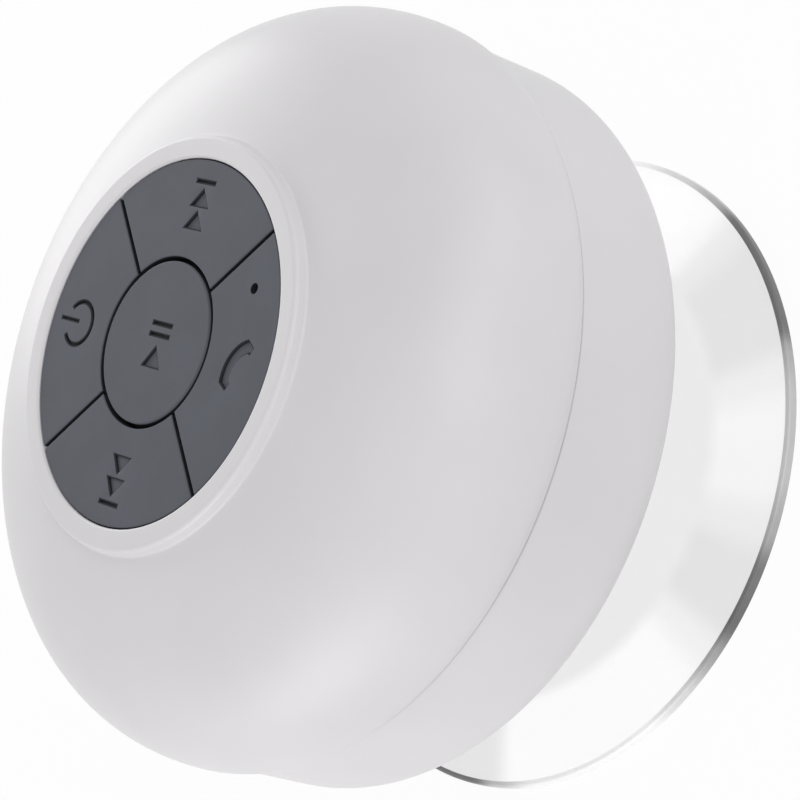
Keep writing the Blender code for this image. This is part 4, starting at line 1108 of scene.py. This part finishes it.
# %% Draw the five signs
SKIP_TRIANGLES = ((12.50 * MM, 14.80 * MM), (14.98 * MM, 17.25 * MM))
SKIP_BAR = (17.53 * MM, 18.19 * MM)
SKIP_BAR_HALF = 1.85 * MM
PLAY_TRIANGLE = (-2.86 * MM, -0.20 * MM)
PAUSE_BARS = ((0.46 * MM, 1.14 * MM), (1.68 * MM, 2.36 * MM))
PAUSE_HALF = 1.94 * MM
POWER_CENTRE = (-0.20 * MM, 15.28 * MM)
POWER_RADIUS = 2.43 * MM
POWER_STROKE = 0.68 * MM
POWER_GAP = 71.0
POWER_GAP_HEADING = 90.0
POWER_STEPS = 36
POWER_BAR = (-0.30 * MM, 0.28 * MM, 15.30 * MM, 18.95 * MM)
HANDSET_CENTRE = (-1.33 * MM, -16.80 * MM)
HANDSET_RADIUS = 3.57 * MM
HANDSET_WIDTH = 1.65 * MM
HANDSET_HEADING = 60.6
HANDSET_TURN = 85.0
HANDSET_STEPS = 14
HANDSET_TIP = ((2.50 * MM, 49.5), (3.35 * MM, 60.5))


def next_sign(way=1):
    """Draw two triangles and a bar, the mirror image for the previous key."""
    drawing = bmesh.new()
    for base, point in SKIP_TRIANGLES:
        draw_triangle(drawing, way * base, way * point)
    draw_bar(drawing, way * SKIP_BAR[0], way * SKIP_BAR[1], -SKIP_BAR_HALF, SKIP_BAR_HALF)
    return drawing


def play_sign():
    """Draw a triangle and two bars."""
    drawing = bmesh.new()
    draw_triangle(drawing, *PLAY_TRIANGLE)
    for left, right in PAUSE_BARS:
        draw_bar(drawing, left, right, -PAUSE_HALF, PAUSE_HALF)
    return drawing


def power_sign():
    """Draw an open ring with a bar in its gap."""
    drawing = bmesh.new()
    start = POWER_GAP_HEADING + POWER_GAP / 2
    draw_band(drawing, POWER_CENTRE, POWER_RADIUS, POWER_STROKE, start, 360.0 - POWER_GAP, POWER_STEPS)
    draw_bar(drawing, *POWER_BAR)
    # The ring and its bar are narrow strokes, so all of them get painted shade.
    for face in drawing.faces:
        face.material_index = SECOND_FINISH
    return drawing


def call_sign():
    """Draw a telephone handset: a curved grip with an ear piece and a mouth piece."""
    drawing = bmesh.new()
    start = HANDSET_HEADING - HANDSET_TURN / 2
    ends = draw_band(
        drawing, HANDSET_CENTRE, HANDSET_RADIUS, HANDSET_WIDTH, start, HANDSET_TURN, HANDSET_STEPS
    )
    middle = Vector(HANDSET_CENTRE)
    for way, end in zip((-1, 1), ends):
        grown = bmesh.ops.extrude_edge_only(drawing, edges=[end])["geom"]
        verts = sorted(verts_of(grown), key=lambda vert: (vert.co.xy - middle).length)
        for vert, (reach, turn) in zip(verts, HANDSET_TIP):
            vert.co.xy = middle + Vector(polar(reach, math.radians(HANDSET_HEADING + way * turn)))
    return drawing


print("signs drawn by", [sign.__name__ for sign in (next_sign, play_sign, power_sign, call_sign)])

# %% [markdown]
# ## The keys
#
# The panel has a round key in the middle and four keys round it, parted by narrow grooves of even
# width. A ring key could be drawn as an outline and extruded; here a small section is spun through
# a quarter turn and its two ends are cut by planes parallel to the groove, which keeps the groove
# even from end to end. Below the cap each key has a narrower step, which passes through the web,
# and a stem over its switch.

# %% Shape the blank keys
GROOVE = 0.5 * MM
KEY_CAP = 1.5 * MM
KEY_STEP = 0.8 * MM
KEY_EDGE = 0.22 * MM
EDGE_SEGMENTS = 3
PANEL_SPACE = 0.14 * MM
SIDE_LEAN = 0.2
LEVEL = 0.9
STEP_DEPTH = 1.7 * MM
STEM_RADIUS = 1.5 * MM
STEM_DEPTH = 0.4 * MM
KEY_STEPS = 40
QUARTER = math.radians(90.0)

cap_low = KEY_TOP - KEY_CAP
step_low = cap_low - STEP_DEPTH
ring_inside = PLAY_RADIUS + GROOVE
ring_outside = PANEL_RADIUS - PANEL_SPACE


def ring_blank(heading):
    """Shape a key of the ring: a quarter of a ring with its ends cut along the grooves."""
    shape = bmesh.new()
    section = (
        (ring_inside, cap_low),
        (ring_outside, cap_low),
        (ring_outside, KEY_TOP),
        (ring_inside, KEY_TOP),
    )
    start = heading - QUARTER / 2
    shape.faces.new([shape.verts.new((*polar(radius, start), height)) for radius, height in section])
    bmesh.ops.spin(
        shape,
        geom=whole(shape),
        cent=ORIGIN,
        axis=UPRIGHT,
        angle=QUARTER,
        steps=KEY_STEPS,
    )
    for way in (-1, 1):
        outward = Vector((*polar(1.0, heading + way * (QUARTER / 2 + QUARTER)), 0.0))
        bmesh.ops.bisect_plane(
            shape,
            geom=whole(shape),
            dist=MERGE,
            plane_co=-outward * GROOVE / 2,
            plane_no=outward,
            clear_outer=True,
        )
        fill_ends(shape)
    close_up(shape)
    return shape


def round_blank():
    """Shape the round key."""
    shape = bmesh.new()
    bmesh.ops.create_circle(
        shape,
        cap_ends=True,
        segments=TURN_STEPS // 2,
        radius=PLAY_RADIUS,
        matrix=Matrix.Translation((0.0, 0.0, cap_low)),
    )
    moved = bmesh.ops.extrude_face_region(shape, geom=shape.faces[:])["geom"]
    bmesh.ops.translate(shape, verts=verts_of(moved), vec=(0.0, 0.0, KEY_CAP))
    close_up(shape)
    return shape


def paint_wall_shade(shape, lean=LEVEL):
    """Paint shade on the sides of a shape with the second finish, up to a lean where 1 is flat."""
    shape.normal_update()
    for face in shape.faces:
        if abs(face.normal.z) < lean:
            face.material_index = SECOND_FINISH


def finished_key(shape, spot, sign):
    """Round the top edge of a blank, add its step and stem, and sink its sign."""
    on_top = [edge for edge in shape.edges if all(abs(vert.co.z - KEY_TOP) < NEAR for vert in edge.verts)]
    rim = [edge for edge in on_top if edge.calc_face_angle(0.0) > SHARP]
    bevel_edges(shape, rim, KEY_EDGE, EDGE_SEGMENTS)
    shape.normal_update()
    under = [face for face in shape.faces if face.normal.z < -LEVEL]
    bmesh.ops.inset_region(shape, faces=under, thickness=KEY_STEP, use_even_offset=True, use_boundary=True)
    drawn_out(shape, under, -STEP_DEPTH)
    close_up(shape)
    stem = rod(STEM_RADIUS, step_low - STEM_DEPTH, step_low + STEM_DEPTH, spot)
    shape = combined(shape, stem, "UNION")
    # The sides of the key, down in the grooves, get painted shade.
    paint_wall_shade(shape, SIDE_LEAN)
    bmesh.ops.translate(sign, verts=sign.verts[:], vec=(0.0, SIGN_SHIFT, 0.0))
    cutter = sunk(sign, SIGN_SLOPE, SIGN_FALL + LIFT, SIGN_DEPTH - SIGN_FALL, -1)
    # The walls of the sign get painted shade.
    paint_wall_shade(cutter)
    return combined(shape, cutter, "DIFFERENCE")


print("ring keys from and to, in mm", in_mm(ring_inside, ring_outside))

# %% Make the keys
STEM_OFFSET = 14.8 * MM
MIC_RADIUS = 0.6 * MM
MIC_OFFSET = 16.2 * MM
MIC_HEADING = math.radians(-60.4)

shape = finished_key(round_blank(), ON_AXIS, play_sign())
add_piece("play_cap", shape, "play_button", "grey_rubber", "play_key", second="sign_painted_shade")
RING_KEYS = (
    ("next", 0.0, next_sign()),
    ("power", 90.0, power_sign()),
    ("previous", 180.0, next_sign(-1)),
    ("call", 270.0, call_sign()),
)
for name, heading, sign in RING_KEYS:
    turn = math.radians(heading)
    shape = finished_key(ring_blank(turn), polar(STEM_OFFSET, turn), sign)
    if name == "call":
        hole = rod(MIC_RADIUS, step_low - WALL, KEY_TOP + WALL, polar(MIC_OFFSET, MIC_HEADING))
        # The wall of the microphone hole gets painted shade.
        paint_wall_shade(hole)
        shape = combined(shape, hole, "DIFFERENCE")
    add_piece(name + "_cap", shape, name + "_button", "grey_rubber", name + "_key", second="sign_painted_shade")

# %% [markdown]
# ## The port flap
#
# On the side of the band a soft rubber flap closes the charging port. Its face follows the curve
# of the band, and a plug behind it fills the port. It is a grid of faces bent to the band's
# radius, extruded to a flat back, then rounded. Near one end a thin groove is its living hinge,
# and near the other a deeper one is for a finger nail.

# %% Shape the flap
FLAP_BACK = 41.2 * MM
FLAP_CORNER = 1.0 * MM
FLAP_EDGE = 0.22 * MM
FLAP_STEPS = 24
PLUG_HALF = (3.0 * MM, 0.75 * MM)
PLUG_CORNER = 0.5 * MM
HINGE_LINE = (5.9 * MM, 0.35 * MM, 0.20 * MM)
NAIL_LINE = (-5.7 * MM, 0.80 * MM, 0.40 * MM)

half = (flap_high.x - flap_low.x) / 2
tall = (flap_high.z - flap_low.z) / 2
facing = Matrix.Rotation(QUARTER, 4, "X")
shape = bmesh.new()
bmesh.ops.create_grid(
    shape,
    x_segments=FLAP_STEPS,
    y_segments=1,
    size=1.0,
    matrix=Matrix.Translation((0.0, 0.0, port_level)) @ Matrix.Diagonal((half, 1.0, tall, 1.0)) @ facing,
)
for vert in shape.verts:
    vert.co.y = math.sqrt(BAND_RADIUS**2 - vert.co.x**2)
moved = bmesh.ops.extrude_face_region(shape, geom=shape.faces[:])["geom"]
for vert in verts_of(moved):
    vert.co.y = FLAP_BACK
close_up(shape)
corners = [edge for edge in shape.edges if all(abs(abs(vert.co.x) - half) < NEAR for vert in edge.verts)]
corners = [edge for edge in corners if abs(edge.verts[0].co.y - edge.verts[1].co.y) > NEAR]
bevel_edges(shape, corners, FLAP_CORNER, CORNER_SEGMENTS)
front = [edge for edge in shape.edges if all(vert.co.y > FLAP_BACK + NEAR for vert in edge.verts)]
rim = [edge for edge in front if edge.calc_face_angle(0.0) > SHARP]
bevel_edges(shape, rim, FLAP_EDGE, EDGE_SEGMENTS)
close_up(shape)
plug = rounded_block(
    (-PLUG_HALF[0], flap_low.y, port_level - PLUG_HALF[1]),
    (PLUG_HALF[0], FLAP_BACK + FLAP_EDGE, port_level + PLUG_HALF[1]),
    ALONG_Y,
    PLUG_CORNER,
)
shape = combined(shape, plug, "UNION")
for x, radius, depth in (HINGE_LINE, NAIL_LINE):
    surface = math.sqrt(BAND_RADIUS**2 - x**2)
    groove = rod(radius, flap_low.z - WALL, flap_high.z + WALL, (x, surface + radius - depth))
    shape = combined(shape, groove, "DIFFERENCE")
add_piece("port_flap_skin", shape, "port_cover", "white_rubber", "port_flap")

# %% [markdown]
# ## The shell screws
#
# Four long screws close the shells from the back, with their heads sunk in the counterbores. They
# are turned with a domed head, and a cross for the driver is cut in: a small block whose four
# sides are extruded.

# %% Turn the screws and cut the crosses
SHANK_RADIUS = 1.2 * MM
SCREW_POINT = 0.5 * MM
HEAD_EDGE = 0.55 * MM
SCREW_HEAD = 1.4 * MM
CROSS_WIDTH = 0.55 * MM
CROSS_REACH = 0.75 * MM
CROSS_DEPTH = 0.75 * MM


def cross_cutter(spot, level):
    """Make a cross to cut into a screw head that faces down at a level."""
    middle = Matrix.Translation((*spot, level + CROSS_DEPTH / 2 - LIFT))
    cross = bmesh.new()
    size = Matrix.Diagonal((CROSS_WIDTH, CROSS_WIDTH, CROSS_DEPTH + LIFT, 1.0))
    bmesh.ops.create_cube(cross, size=1.0, matrix=middle @ size)
    cross.normal_update()
    sides = [face for face in cross.faces if abs(face.normal.z) < STEEP]
    for face in bmesh.ops.extrude_discrete_faces(cross, faces=sides)["faces"]:
        face.normal_update()
        bmesh.ops.translate(cross, verts=face.verts[:], vec=face.normal * CROSS_REACH)
    close_up(cross)
    return cross


for i, turn in enumerate(DIAGONALS):
    node = "shell_screw_" + str(i + 1)
    screw_low, screw_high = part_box(node)
    spot = polar(BOSS_OFFSET, turn)
    head_radius = (screw_high.x - screw_low.x) / 2
    seat = screw_low.z + SCREW_HEAD
    section = [
        (0.0, screw_high.z),
        (SHANK_RADIUS - SCREW_POINT, screw_high.z),
        (SHANK_RADIUS, screw_high.z - SCREW_POINT),
        (SHANK_RADIUS, seat),
        (head_radius, seat),
        (head_radius, screw_low.z),
        (0.0, screw_low.z),
    ]
    shape = turned(section, False, ROD_STEPS, spot)
    round_ring(shape, head_radius, screw_low.z, HEAD_EDGE, RING_SEGMENTS, spot)
    shape = combined(shape, cross_cutter(spot, screw_low.z), "DIFFERENCE")
    add_piece("shell_fixing_" + str(i + 1), shape, "housing", "plated_steel", node)
